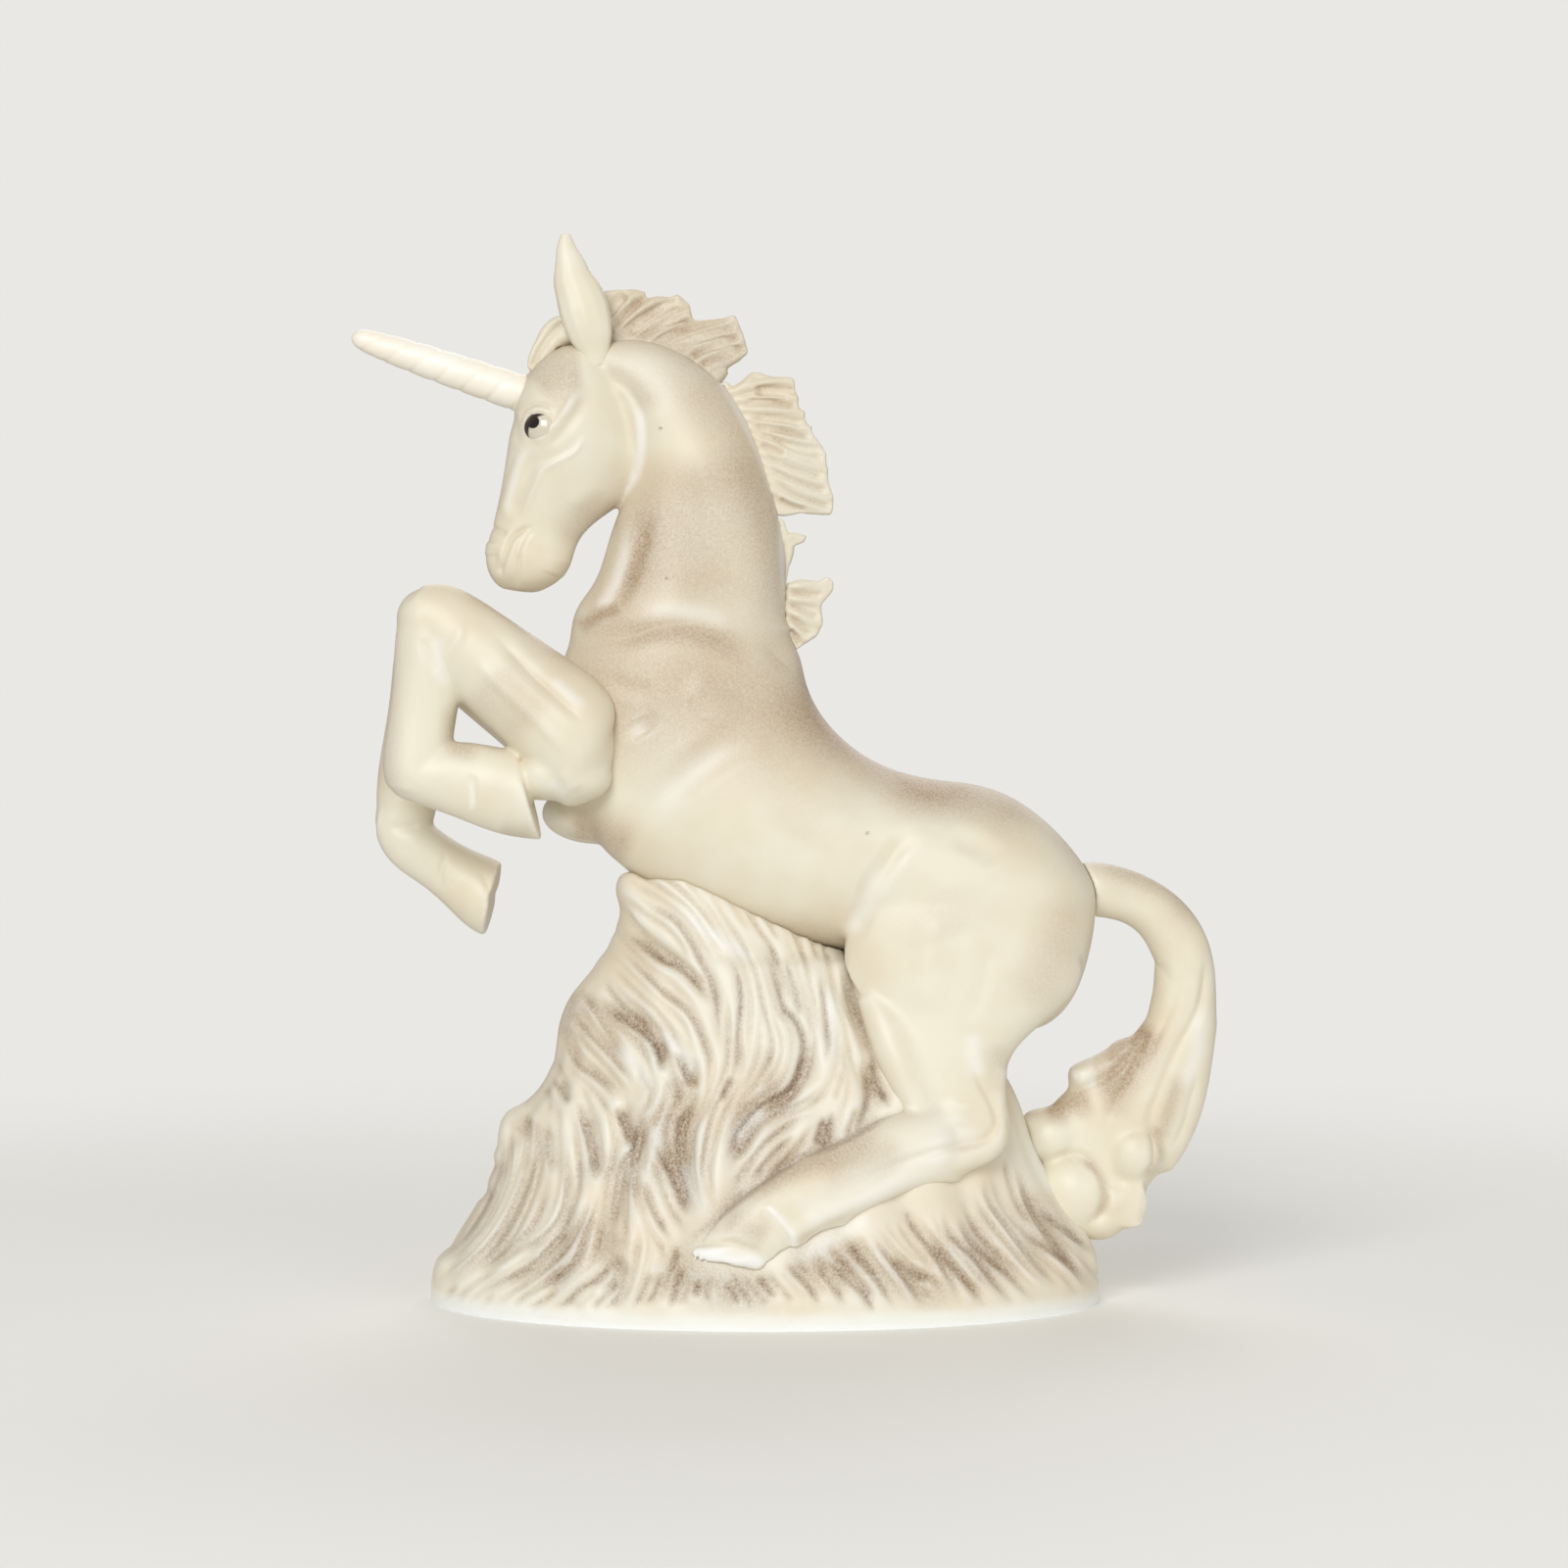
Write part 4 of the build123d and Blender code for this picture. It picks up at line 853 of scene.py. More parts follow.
# Bluish white on ridges and creases: wiped bisque, and partly a painted highlight
BODY_WIPE_AND_HIGHLIGHT = (
    Stroke(1.9, 0.55, ((-29.8, 183.4), (-29, 177), (-29.4, 171), (-31.4, 166), (-33.8, 162.6))),
    Stroke(1.8, 0.3, ((-41.6, 186.6), (-43, 183.2), (-45.6, 179.4))),
    Stroke(4, 0.3, ((-10.2, 114.2), (-20.6, 105), (-26.8, 98.2))),
    Stroke(3.4, 0.4, ((20.6, 88), (16, 79), (12.2, 72.6))),
    Stroke(1.7, 0.4, ((-52.6, 174.4), (-54.4, 170), (-56, 164), (-57.4, 158.6))),
    Stroke(1.8, 0.4, ((-31.6, 156), (-34, 147), (-37.6, 140))),
    Stroke(1.3, 0.5, ((-20, 190.6), (-13.4, 187.4), (-8.4, 179.4), (-4.2, 170), (-1, 160),
           (-0.2, 149), (0.2, 137))),
    Stroke(2.6, 0.5, ((38.6, 55), (38.4, 49.4), (40, 44.4))),
    Stroke(3, 0.3, ((-30.4, 118), (-29, 114.6))),
    Stroke(1.4, 0.2, ((-39.4, 177.6), (-42.8, 172.8), (-46.8, 170.6), (-49.4, 169), (-50.8, 165.8))),
    Stroke(8, 0.4, ((38, 38), (26, 25), (10, 18.6), (3, 15)), taper=0.1),
    Stroke(3.4, 0.8, HOOF_LENS, taper=0.05),
    Stroke(2, 0.5, ((-4, 18.8), (-1, 15.9), (1.4, 12.7), (2.4, 9.4)), taper=0.1),
    Stroke(3, 0.3, ((-30, 139.6), (-24, 140.4), (-17, 139.8), (-10, 137.4))),
)
# Bluish white on the foreleg's ridges: wiped bisque, and partly a painted highlight
FORE_WIPE_AND_HIGHLIGHT = (
    Stroke(2.4, 0.45, ((-70.8, 136), (-70.6, 130), (-68.8, 124))),
    Stroke(1, 0.5, ((-64, 106), (-63.6, 102.6), (-63.8, 99))),
    Stroke(2.6, 0.4, ((-48, 106), (-44, 102.6))),
    Stroke(2, 0.4, ((-48, 127), (-40, 120))),
)
FORE_WASH = (
    Stroke(14, 0.3, ((-62, 128), (-50, 116))),
    Stroke(5, 0.4, ((-69, 146.6), (-58, 142), (-48, 134), (-40, 127))),
    Stroke(4, 0.45, ((-67.4, 122), (-67, 113), (-61, 112))),
    Stroke(5, 0.3, ((-81, 137), (-81.6, 121), (-81, 107), (-74, 100))),
    Stroke(5, 0.3, ((-59, 95), (-51, 93))),
)
TAIL_WASH_AND_SHADE = (
    Stroke(8, 0.4, ((62, 88), (70, 87), (79, 84), (86, 74))),
    Stroke(6, 0.5, ((74, 57), (70.6, 50), (66, 46))),
    Stroke(7, 0.8, ((75, 58), (72, 50), (67, 45), (62, 41))),
    Stroke(5, 0.85, ((52, 38.6), (58, 39.6), (64, 41))),
    Stroke(5, 0.4, ((70, 47), (68, 41), (67, 36))),
    Stroke(3, 0.5, ((81, 47), (78, 37), (76, 31))),
    # painted shadow along the right edges of the two curls
    Stroke(1.7, 0.45, ((74.8, 36), (76.6, 31.4), (75.8, 27.4), (72.6, 24.4)), taper=0.2),
    Stroke(1.7, 0.45, ((60.4, 29), (64.6, 25), (65.6, 20.3), (63.4, 16)), taper=0.2),
)
# Bluish white on the tail's ridges: wiped bisque, and partly a painted highlight
TAIL_WIPE_AND_HIGHLIGHT = (
    Stroke(3, 0.45, ((85.2, 61), (84.4, 51), (81, 41))),
    Stroke(2.4, 0.4, ((60, 45), (64, 44.4))),
)
GRASS_WASH = (
    Stroke(6.5, 0.46, ((-37.6, 60.2), (-31, 56.6), (-26.4, 52.6), (-24.4, 47))),
    Stroke(6.5, 0.5, ((-24, 41.4), (-20, 43.4), (-16.8, 44.2))),
    Stroke(7.5, 0.53, ((-30, 37), (-26.4, 39), (-22, 35), (-21.2, 28), (-20.4, 22.6))),
    Stroke(6.5, 0.37, ((-40.8, 29), (-37.6, 27), (-34.4, 25))),
    Stroke(7.5, 0.46, ((-35.6, 18), (-40, 11), (-46.8, 4.6), (-49.6, 1.4))),
    Stroke(6.5, 0.37, ((-32, 13), (-35.6, 5))),
    Stroke(8.5, 0.53, ((-29, 7), (-20, 5), (-8, 2), (0, 2.6))),
    Stroke(8.5, 0.56, ((0, 10), (8, 8), (16, 5.4))),
    Stroke(7.5, 0.56, ((-20, 10), (-10.8, 17.4), (3.4, 27), (14.4, 31.4), (24, 37))),
    Stroke(6.5, 0.46, ((-11.6, 29), (-7.6, 35.8), (0, 42.2), (3.6, 44.2))),
    Stroke(6.5, 0.43, ((-40, 63), (-42.4, 59), (-45.6, 52.2))),
    Stroke(6.5, 0.46, ((8.6, 10.2), (20, 5.4), (25.8, 3.4), (37, -1))),
    Stroke(6.5, 0.43, ((28, 12.6), (38, 7), (44, 2.6))),
    Stroke(7.5, 0.43, ((48, 23), (53, 15), (60, 8))),
    Stroke(6.5, 0.37, ((37, 18), (42, 11), (50, 4))),
    Stroke(6.5, 0.37, ((-28, 41), (-27.2, 29), (-30, 17))),
    Stroke(5.5, 0.37, ((-51, 37), (-54, 33))),
    Stroke(6.5, 0.31, ((-6, 53), (-5, 45), (-12, 35))),
)
# Bluish white on the grass's ridges: wiped bisque, and partly a painted highlight
GRASS_WIPE_AND_HIGHLIGHT = (
    Stroke(2.4, 0.5, ((-22, 82), (-17, 76), (-11, 72), (-5, 68))),
    Stroke(2.6, 0.4, ((-34.4, 52.6), (-30, 46.6), (-25.6, 42.6))),
    Stroke(2.4, 0.4, ((-25.6, 55), (-20, 49.4), (-17.6, 45))),
    Stroke(3, 0.4, ((-11, 31), (-8, 35), (-3, 39))),
    Stroke(2.6, 0.4, ((-19, 29), (-18.8, 22), (-15.6, 17))),
    Stroke(2.4, 0.4, ((20, 73), (23, 63), (22.4, 53))),
    Stroke(2.6, 0.4, ((8.4, 65), (10, 55), (9.2, 47))),
    Stroke(3, 0.5, ((1, 7), (10, 12.6), (20, 17))),
    Stroke(3, 0.4, ((50.4, 35), (52, 27), (55.6, 20))),
)
# The leaf of an ear, and the locks of hair
EAR_LOCK: Path = ((-44.6, 217.4), (-44.4, 214.2), (-43.6, 210.8), (-43, 207.8), (-41.8, 204.8),
    (-40.8, 201.8), (-40, 198.8), (-39.2, 195.8), (-38.6, 193), (-38.4, 190.2))
FORELOCK_LOCKS: tuple[Path, ...] = (
    ((-42, 197.8), (-46, 198), (-49, 195.4), (-51, 192.4), (-51.8, 189.6)),
    ((-41.6, 196.4), (-45.2, 196), (-48.2, 193.4), (-50.2, 190.6), (-51, 188.8)),
    ((-42.8, 198.8), (-45.8, 199.2), (-48.4, 197.4), (-50.4, 194.6)),
)
POLL_LOCKS: tuple[Path, ...] = (
    ((-38.8, 195), (-34.4, 200.6), (-31, 203.8), (-28, 204.4)),
    ((-37.6, 193), (-32.8, 198.4), (-28, 202.2), (-24.4, 203.2), (-22, 203)),
    ((-35, 191.8), (-29, 197.4), (-24, 201), (-20.6, 202.4)),
    ((-32, 191.8), (-26.4, 196), (-21.6, 199), (-19.2, 200.6)),
    ((-29, 190.6), (-22.4, 194.6), (-16, 197.4), (-11, 199)),
    ((-26.4, 189), (-19.6, 193.4), (-13.6, 196), (-9.6, 197.6)),
    ((-22.4, 187.4), (-16.4, 191.8), (-11.6, 194), (-8.6, 195)),
    ((-20, 185.4), (-15.2, 189.8), (-11.2, 191.8), (-9.2, 192.6)),
    ((-17.6, 184.2), (-14, 188), (-12, 189.8)),
)
POLL_ROOT: Path = ((-38.8, 197), (-32, 194.6), (-25.6, 191.8), (-19.6, 188.2), (-15.2, 185))
UPPER_FIRST: Path = ((-11.6, 184.6), (-6, 186.2), (-0.8, 187), (1.6, 186.6))
UPPER_MIDDLE: Path = ((-6.6, 175.2), (-1, 172.9), (4.4, 170.8), (9, 169.6))
UPPER_LAST: Path = ((-3.2, 165.4), (1.2, 163), (5.6, 161.9), (9, 161))
UPPER_SPIKE: Path = ((-10.4, 184.2), (-7.6, 186.6), (-6, 188.8))
LOWER_LOCKS: tuple[Path, ...] = (
    ((0.5, 145.2), (3.8, 145.4), (6.9, 145.9)),
    ((0.5, 142.9), (4.4, 142.4), (7.6, 141.5)),
    ((0.6, 140.4), (3.6, 139), (6.3, 136.4)),
    ((0.8, 137.9), (2.6, 136.4), (4.2, 134.6)),
)
CURL_LOCKS: tuple[Path, ...] = (
    ((-1, 154.6), (1.2, 155.4), (3.6, 155.2), (4.4, 155)),
    ((-1.4, 156), (0, 155.4), (1.2, 153), (0.6, 150)),
)
# Where the hair is combed
POLL_CREASES: tuple[Path, ...] = (
    ((-34.8, 198.1), (-32, 201.1), (-29.3, 203.6), (-27.3, 204.9)),
    ((-35.6, 200.4), (-33.6, 203.2), (-32, 204.9)),
    ((-33.6, 197), (-30.3, 199.6), (-26.7, 201.8), (-23.7, 203.6), (-21.6, 204.4)),
    ((-32.3, 196.6), (-28.3, 198.8), (-24.3, 201.1), (-20.7, 202.3)),
    ((-30.3, 195.9), (-26.3, 197.8), (-22.3, 198.8), (-18.7, 199.6)),
    ((-27.3, 195), (-23, 197), (-18.4, 198.4), (-13.7, 199.6), (-10.1, 200.2)),
    ((-25, 194.1), (-20.4, 195.9), (-15.7, 197.4), (-11.7, 198), (-8.6, 198.1)),
    ((-22.3, 193.1), (-17.7, 194.8), (-13.1, 195.9), (-8.3, 196.1)),
    ((-19.7, 191.8), (-15.7, 193.7), (-11.7, 194.3), (-7.6, 193.7)),
    ((-17.4, 190.4), (-14.4, 191.8), (-11.4, 192.3), (-9.4, 192.3)),
)
UPPER_CREASES: tuple[Path, ...] = (
    ((-6.4, 185.7), (-1.9, 185.9), (2.8, 185.4)),
    ((-6.2, 184.8), (-0.9, 184.6), (1.6, 183.6)),
    ((-8, 183.2), (-3.9, 183.2), (-0.2, 182.7), (2.6, 182)),
    ((-6.8, 179.9), (-1.9, 179.4), (1.8, 178.8), (4.4, 177.9)),
    ((-6.4, 178.3), (-2.9, 177.4), (1.8, 176.7), (5.5, 175.6)),
    ((-6, 176.9), (-2.3, 175.7), (1, 173.9), (4.2, 172.6), (8.7, 171.6)),
    ((-4.9, 174.4), (-2.5, 173.4), (0.2, 172.4)),
    ((-3.9, 172), (-1.1, 170.8), (1.8, 169.5), (5.1, 168.5), (8.3, 167.3)),
    ((-3.1, 169.5), (0.6, 167.7), (4.2, 166.3), (9.1, 164.8)),
    ((-1.9, 166.7), (1.2, 164.6), (4.2, 163.2), (10, 161.6)),
    ((-1.3, 163.2), (0.8, 161.9), (4.6, 160.6)),
)
LOWER_CREASES: tuple[Path, ...] = (
    ((0.8, 144.1), (4.1, 143.9), (7.9, 143.9)),
    ((0.6, 141.7), (3.8, 140.6), (7, 139)),
    ((0.8, 139.1), (3, 137.6), (5.3, 135.2)),
    ((0.9, 136.5), (2.1, 135.2), (3.1, 133.2)),
)
FORELOCK_CREASES: tuple[Path, ...] = (
    ((-48.9, 189.8), (-46.2, 191.8), (-45.6, 194.5)),
    ((-51.9, 189.2), (-49.5, 194.5), (-46.2, 198.4), (-43.2, 199.8)),
)

# Notches in the edge of the mound, and the two tufts beside them
EDGE_STROKES = [
    Stroke(5, -2, ((-60.6, 25), (-64.5, 18.6), (-68.5, 12.4), (-72, 8))),
    Stroke(8, -1.3, ((-47, 57), (-49, 49), (-51.4, 41), (-53, 37)), taper=0.45),
    Stroke(4, -1.6, ((-59.8, 30), (-62, 25), (-63.8, 20.6))),
]
TUFTS = (
    Lock(((-50.6, 36.6), (-54.4, 36), (-55, 31.6), (-54.8, 26.6), (-57.8, 21.4), (-62.4, 15.8),
        (-66.6, 9)), (3.2, 3.6, 3.4, 3.2, 3.2, 3.4, 3), 1.6, (-3,)),
    Lock(((-33, 83), (-30, 83.6), (-24, 79), (-19, 74)), (2.6, 3.4, 3.4, 2.4), 2, (-2,)),
)
# Rolls of clay that fill out the back and the front of a hind leg
TENDON_LOCK: Path = ((43, 47), (42.4, 39), (42.7, 33.4), (41.4, 31), (38.6, 29.6), (31.2, 26.9),
    (23.6, 24.6), (16, 21.2), (8, 17.8), (1.2, 13.6))
TENDON_DEPTHS = (17.5, 19.2, 21.2, 24, 28.2, 31.6, 33.6)
TENDON_RADII = (2.6, 3, 3.2, 3.2, 3.2, 3, 2.4)
SHANK_LOCK: Path = ((17.8, 62), (20.5, 56), (23.2, 49), (25.6, 43), (28, 38.6))
SHANK_DEPTHS = (15, 17, 18.8, 20.2, 22)
SHANK_RADII = (3.2, 4.2, 4.6, 4.2, 3)
EYE_PLACE: Place = (-50.3, 178)
# Dark specks in the bisque
SPECKS = tuple(Stroke(0.5, 0.6, ((along - 0.1, up), (along + 0.1, up)), taper=0)
               for along, up in ((-24, 147), (-25.2, 177.6), (17, 95)))
# Outlines in the XZ plane along which the lump is cut
HEAD_CUT: Path = (
    (-36, 202), (-36, 190.5), (-33, 186), (-30.4, 183.2), (-28.8, 179.6), (-28.4, 174.4),
    (-29.4, 169.4), (-31.6, 166), (-33.6, 164.2), (-36, 158), (-72, 120), (-72, 202),
)
NECK_CUT: Path = ((14, 137.4), (-52, 134), (-52, 210), (14, 210))
LEG_CUT: Path = (
    (11.6, 70), (17, 81), (21, 89), (28, 95), (37, 98), (47, 95), (54, 87),
    (57.5, 73), (60, 50), (60, 5), (-30, 5), (-30, 28), (11, 45),
)
LEG_CUT_DEPTH = 7.0  # how far from the middle plane a hind leg is cut off, mm
LEG_CUT_REACH = 50.0
CUT_REACH = 40.0  # how far the cuts of head and neck go to either side of the middle plane, mm
# Balls that fill what the solids leave open: the vent, the socket, the eyes' seats and the chest
PLUGS = (
    ((-8, 0, 78), (4, 4, 6)),
    ((-51, 0, 186), (3, 3, 3)),
    ((-50.6, -5.6, 178.2), (3.2, 2.6, 2.6)),
    ((-50.6, 5.6, 178.2), (3.2, 2.6, 2.6)),
    ((-38, 4, 99), (11.8, 9, 6.4)),
)
HIND_ROLLS = ((TENDON_LOCK, TENDON_RADII, TENDON_DEPTHS), (SHANK_LOCK, SHANK_RADII, SHANK_DEPTHS))


def marks(rows: Marks) -> list[Stroke]:
    """Draws strokes of one width, depth and profile along each of some lines, row by row."""
    return [Stroke(width, depth, line, profile, GROOVE_TAPER)
            for lines, width, depth, profile in rows for line in lines]


def smoothstep(values: np.ndarray, start: float, end: float) -> np.ndarray:
    """Rises softly from 0 at the start to 1 at the end."""
    return eased(np.clip((values - start) / (end - start), 0, 1))


@dataclass(frozen=True)
class Staining:
    """How a piece is stained and shaded: sprayed brown from above, painted shade towards its silhouette, and
    wiped white on its ridges, partly as painted highlight.
    """

    washes: tuple[Stroke, ...] = ()  # where the brown is sprayed on, and where shade is painted in strokes
    wipes_and_highlights: tuple[Stroke, ...] = ()  # where the bluish white is brushed on, partly as painted highlight
    strength: float = 1.0  # how much stain is left in the valleys
    sky: float = 0.3  # how brown its upper faces are
    rim: float = 0.2  # how much painted shade darkens the faces that turn away from its sides, towards the silhouette
    foot: float = 0.0  # up to what height the stain is wiped off again, mm
    ridge: float = 0.4  # how white its ridges are wiped, partly as a painted highlight
    lines: tuple[Stroke, ...] = ()  # drawn lines of stain left in grooves, and of painted shade under an overhanging edge

    def apply(self, clay: Clay, hollows: np.ndarray, broad: np.ndarray | None = None) -> None:
        """Stains a piece, and paints shade and highlights on it.

        Args:
            clay: the piece.
            hollows: how deep each of its points lies in a fine groove, mm.
            broad: how deep each of its points lies in a broad valley, mm.
        """
        normals = clay.normals()
        soft = clay.spread(hollows, 3)
        wash_and_shade = clay.heights(self.washes)
        wash_and_shade += self.sky * smoothstep(normals[:, 2], 0.25, 0.95)
        # painted shade towards the silhouette
        wash_and_shade += self.rim * smoothstep(1 - np.abs(normals[:, 1]), 0.35, 0.95)
        wash_and_shade += self.strength * 0.55 * smoothstep(soft, 0.01, 0.2)
        if broad is not None:
            wash_and_shade += self.strength * 0.42 * smoothstep(clay.spread(broad, 8), -0.1, 0.8)
        # wiped white and painted highlight on the ridges
        wipe_and_highlight = clay.heights(self.wipes_and_highlights) + self.ridge * smoothstep(-soft, 0.01, 0.15)
        # stain left in grooves, and painted shade lines such as the one under the grass's edge
        stain_and_shade = self.strength * 0.2 * smoothstep(soft, 0.1, 0.6) + clay.heights(self.lines)
        if self.foot:
            wiped = 1 - smoothstep(clay.points[:, 2], self.foot, self.foot + 2.5)
            wash_and_shade, stain_and_shade, wipe_and_highlight = wash_and_shade * (1 - wiped), stain_and_shade * (1 - wiped), wipe_and_highlight + 0.6 * wiped
        for name, values in (("wash_and_shade", wash_and_shade), ("wipe_and_highlight", wipe_and_highlight), ("stain_and_shade", stain_and_shade)):
            store(clay.thing, name, values)


HAIR_STAINING = Staining((Stroke(30.0, 0.2, ((-30.0, 198.0), (0.0, 175.0), (6.0, 140.0)), taper=0.0),),
                         strength=1.1, sky=0.05, rim=0.05, ridge=0.15)
POLL_STAINING = Staining((Stroke(30.0, 0.5, ((-44.0, 199.0), (-8.0, 190.0)), taper=0.0),),
                         strength=1.1, sky=0.05, rim=0.05, ridge=0.1)


def finished(
    thing: bpy.types.Object, name: str, slot: str, material: bpy.types.Material, *nodes: str
) -> None:
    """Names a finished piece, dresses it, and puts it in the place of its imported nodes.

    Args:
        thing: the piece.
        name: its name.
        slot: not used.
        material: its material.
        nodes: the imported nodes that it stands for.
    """
    thing.name = thing.data.name = name
    thing.data.materials.clear()
    thing.data.materials.append(material)
    activate(thing)
    bpy.ops.object.shade_smooth_by_angle(angle=HARD_EDGE)
    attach(thing, "root")
    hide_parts(*nodes)
    log.info("%s: %d faces", name, len(thing.data.polygons))


@dataclass
class Casting:
    """A casting of its own: the form of its solid, softened, with its lines pressed in."""

    node: str
    strokes: tuple[Stroke, ...]
    middle: float = 0.0  # the Y of the plane about which it is alike, mm
    staining: Staining = Staining()
    swellings: tuple[tuple[Point, Point], ...] = ()  # the middle and the radii of each, mm
    melts: tuple[tuple[Point, float, int], ...] = ()  # where it is smoothed more: middle, radius, rounds
    voxel: float = 0.38
    rounds: int = 14  # of smoothing

    def build(self, material: bpy.types.Material) -> None:
        """Models and dresses the casting.

        Args:
            material: its material.
        """
        clay = Clay(copy_of(self.node, [self.node]), self.middle)
        if self.swellings:
            clay.join(*(ball(middle, radii) for middle, radii in self.swellings))
        clay.fuse(self.voxel)
        clay.smooth(self.rounds)
        clay.melt(self.melts)
        clay.press(self.strokes)
        clay.smooth(2)
        self.staining.apply(clay, clay.hollows())
        clay.write()
        finished(clay.thing, self.node + "_casting", "bisque", material, self.node)


@dataclass
class Ear:
    """An ear: a smooth leaf whose root sinks into the head."""

    node: str
    y: float
    radii: tuple[float, ...] = (1.0, 2.2, 3.3, 4.2, 4.9, 5.2, 5.0, 4.3, 3.0, 2.2)
    flat: float = 0.58
    voxel: float = 0.26

    def build(self, material: bpy.types.Material) -> None:
        """Models and dresses the ear."""
        clay = Clay(Lock(EAR_LOCK, self.radii, self.flat, (self.y,)).roll(), self.y)
        clay.fuse(self.voxel)
        clay.smooth(8)
        Staining(sky=0.0, rim=0.25).apply(clay, clay.hollows())
        clay.write()
        finished(clay.thing, self.node + "_casting", "bisque", material, self.node)


@dataclass
class Hair:
    """A fringe of the mane, or the forelock: a thin plate, with locks rolled onto it and then combed."""

    node: str
    strands: list[Lock]
    creases: Sequence[Path]  # where it is combed
    crease_width: float = 1.35
    crease_depth: float = 0.75
    plate: float = 0.5  # the thickness of the plate, as a share of that of its solid
    voxel: float = 0.25
    rounds: int = 14
    staining: Staining = HAIR_STAINING

    def build(self, material: bpy.types.Material) -> None:
        """Models and dresses the fringe."""
        clay = Clay(copy_of(self.node, [self.node]))
        clay.points[:, 1] *= self.plate
        clay.write()
        clay.join(*(strand.roll() for strand in self.strands))
        clay.fuse(self.voxel)
        clay.smooth(self.rounds)
        clay.press([Stroke(self.crease_width, -self.crease_depth, path, Profile.CREASE, 0.15)
                    for path in self.creases])
        clay.smooth(2)
        self.staining.apply(clay, clay.hollows(12))
        clay.write()
        finished(clay.thing, self.node + "_casting", "bisque", material, self.node)


@dataclass
class Horn:
    """The horn: a tapered rope of two strands, with a rounded tip, whose root sinks into the forehead."""

    root: Point = (-49.6, 0.0, 183.3)
    tip: Point = (-88.2, 0.0, 196.4)
    radii: tuple[float, ...] = (3.9, 3.7, 3.5, 3.25, 2.8, 1.9)  # evenly spread from the root to the tip, mm
    tip_length: float = 2.8  # over which the tip is rounded off
    lead: float = 11.0  # how far a strand climbs in one turn
    strands: int = 2
    groove: float = 0.16  # how deep the valley between two strands is
    valley: float = 0.1  # how wide it is, as a share of a strand
    swelling: float = 0.6  # how far a strand swells out, as a share of the groove
    ring: int = 72  # points around it
    step: float = 0.3  # from one ring to the next, mm
    tip_rings: int = 12

    def build(self, material: bpy.types.Material) -> None:
        """Models and dresses the horn."""
        root, axis = Vector(self.root), Vector(self.tip) - Vector(self.root)
        length = axis.length
        axis.normalize()
        upward = Vector((-axis.z, 0, axis.x)) * (-1 if axis.x < 0 else 1)
        angles = np.linspace(0, 2 * np.pi, self.ring, endpoint=False)
        ends = 1 - np.linspace(1, 0, self.tip_rings) ** 2
        places = np.append(np.arange(0, length - self.tip_length, self.step),
                           length - self.tip_length + self.tip_length * ends[:-1])
        rows = []
        for place in places:
            radius = np.interp(place / length, np.linspace(0, 1, len(self.radii)), self.radii)
            beyond = max(0.0, (place - length + self.tip_length) / self.tip_length)
            phase = (angles / (2 * np.pi) - place / self.lead) * self.strands % 1
            valley = np.exp(-((np.minimum(phase, 1 - phase) / self.valley) ** 2))
            relief = self.groove * (self.swelling * np.sin(np.pi * phase) - valley) * radius / self.radii[0]
            radii = (radius + relief) * np.sqrt(1 - beyond**2)
            for angle, reach in zip(angles, radii):
                side = upward * np.cos(angle) - Vector((0, 1, 0)) * np.sin(angle)
                rows.append((root + axis * place + side * reach) * MM)
        starts = range(0, len(rows), self.ring)  # the first point of each ring
        around = [(k, (k + 1) % self.ring) for k in range(self.ring)]
        faces = [(low + k, low + after, high + after, high + k)
                 for low, high in zip(starts, starts[1:]) for k, after in around]
        rows += [root * MM, Vector(self.tip) * MM]
        for k, after in around:
            faces.append((k, len(rows) - 2, after))
            faces.append((starts[-1] + k, starts[-1] + after, len(rows) - 1))
        mesh = bpy.data.meshes.new("horn")
        mesh.from_pydata(rows, [], faces)
        thing = placed("horn", mesh)
        with editing(thing):
            bpy.ops.mesh.select_all(action="SELECT")
            bpy.ops.mesh.normals_make_consistent(inside=False)
        clay = Clay(thing)
        Staining(strength=0.9, sky=0.0, rim=0.0).apply(clay, clay.hollows(6))
        finished(thing, "horn_casting", "horn_bisque", material, "horn")


@dataclass
class Eyes:
    """The two eyes: beads of gloss enamel that stand a little out of the sides of the head."""

    radii: Point = (3.45, 1.75, 3.05)  # along the head, out of it, and upwards
    depth: float = 0.8  # how far the middle of a bead lies under the skin

    def build(self, material: bpy.types.Material, skin: tuple[Vector, Vector]) -> None:
        """Models and dresses both eyes.

        Args:
            material: their material.
            skin: the point of the head's left side where the eye sits, and the outward direction there.
        """
        point, outward = skin
        middle = point - outward * self.depth
        for node, side in (("left_eye", 1), ("right_eye", -1)):
            facing = Vector((outward.x, outward.y * side, outward.z))
            turn = facing.to_track_quat("-Y" if side > 0 else "Y", "Z")
            thing = ball((middle.x, middle.y * side, middle.z), self.radii, turn)
            apply_modifier(thing, "SUBSURF", levels=2)
            finished(thing, node + "_bead", "eye_enamel", material, node)


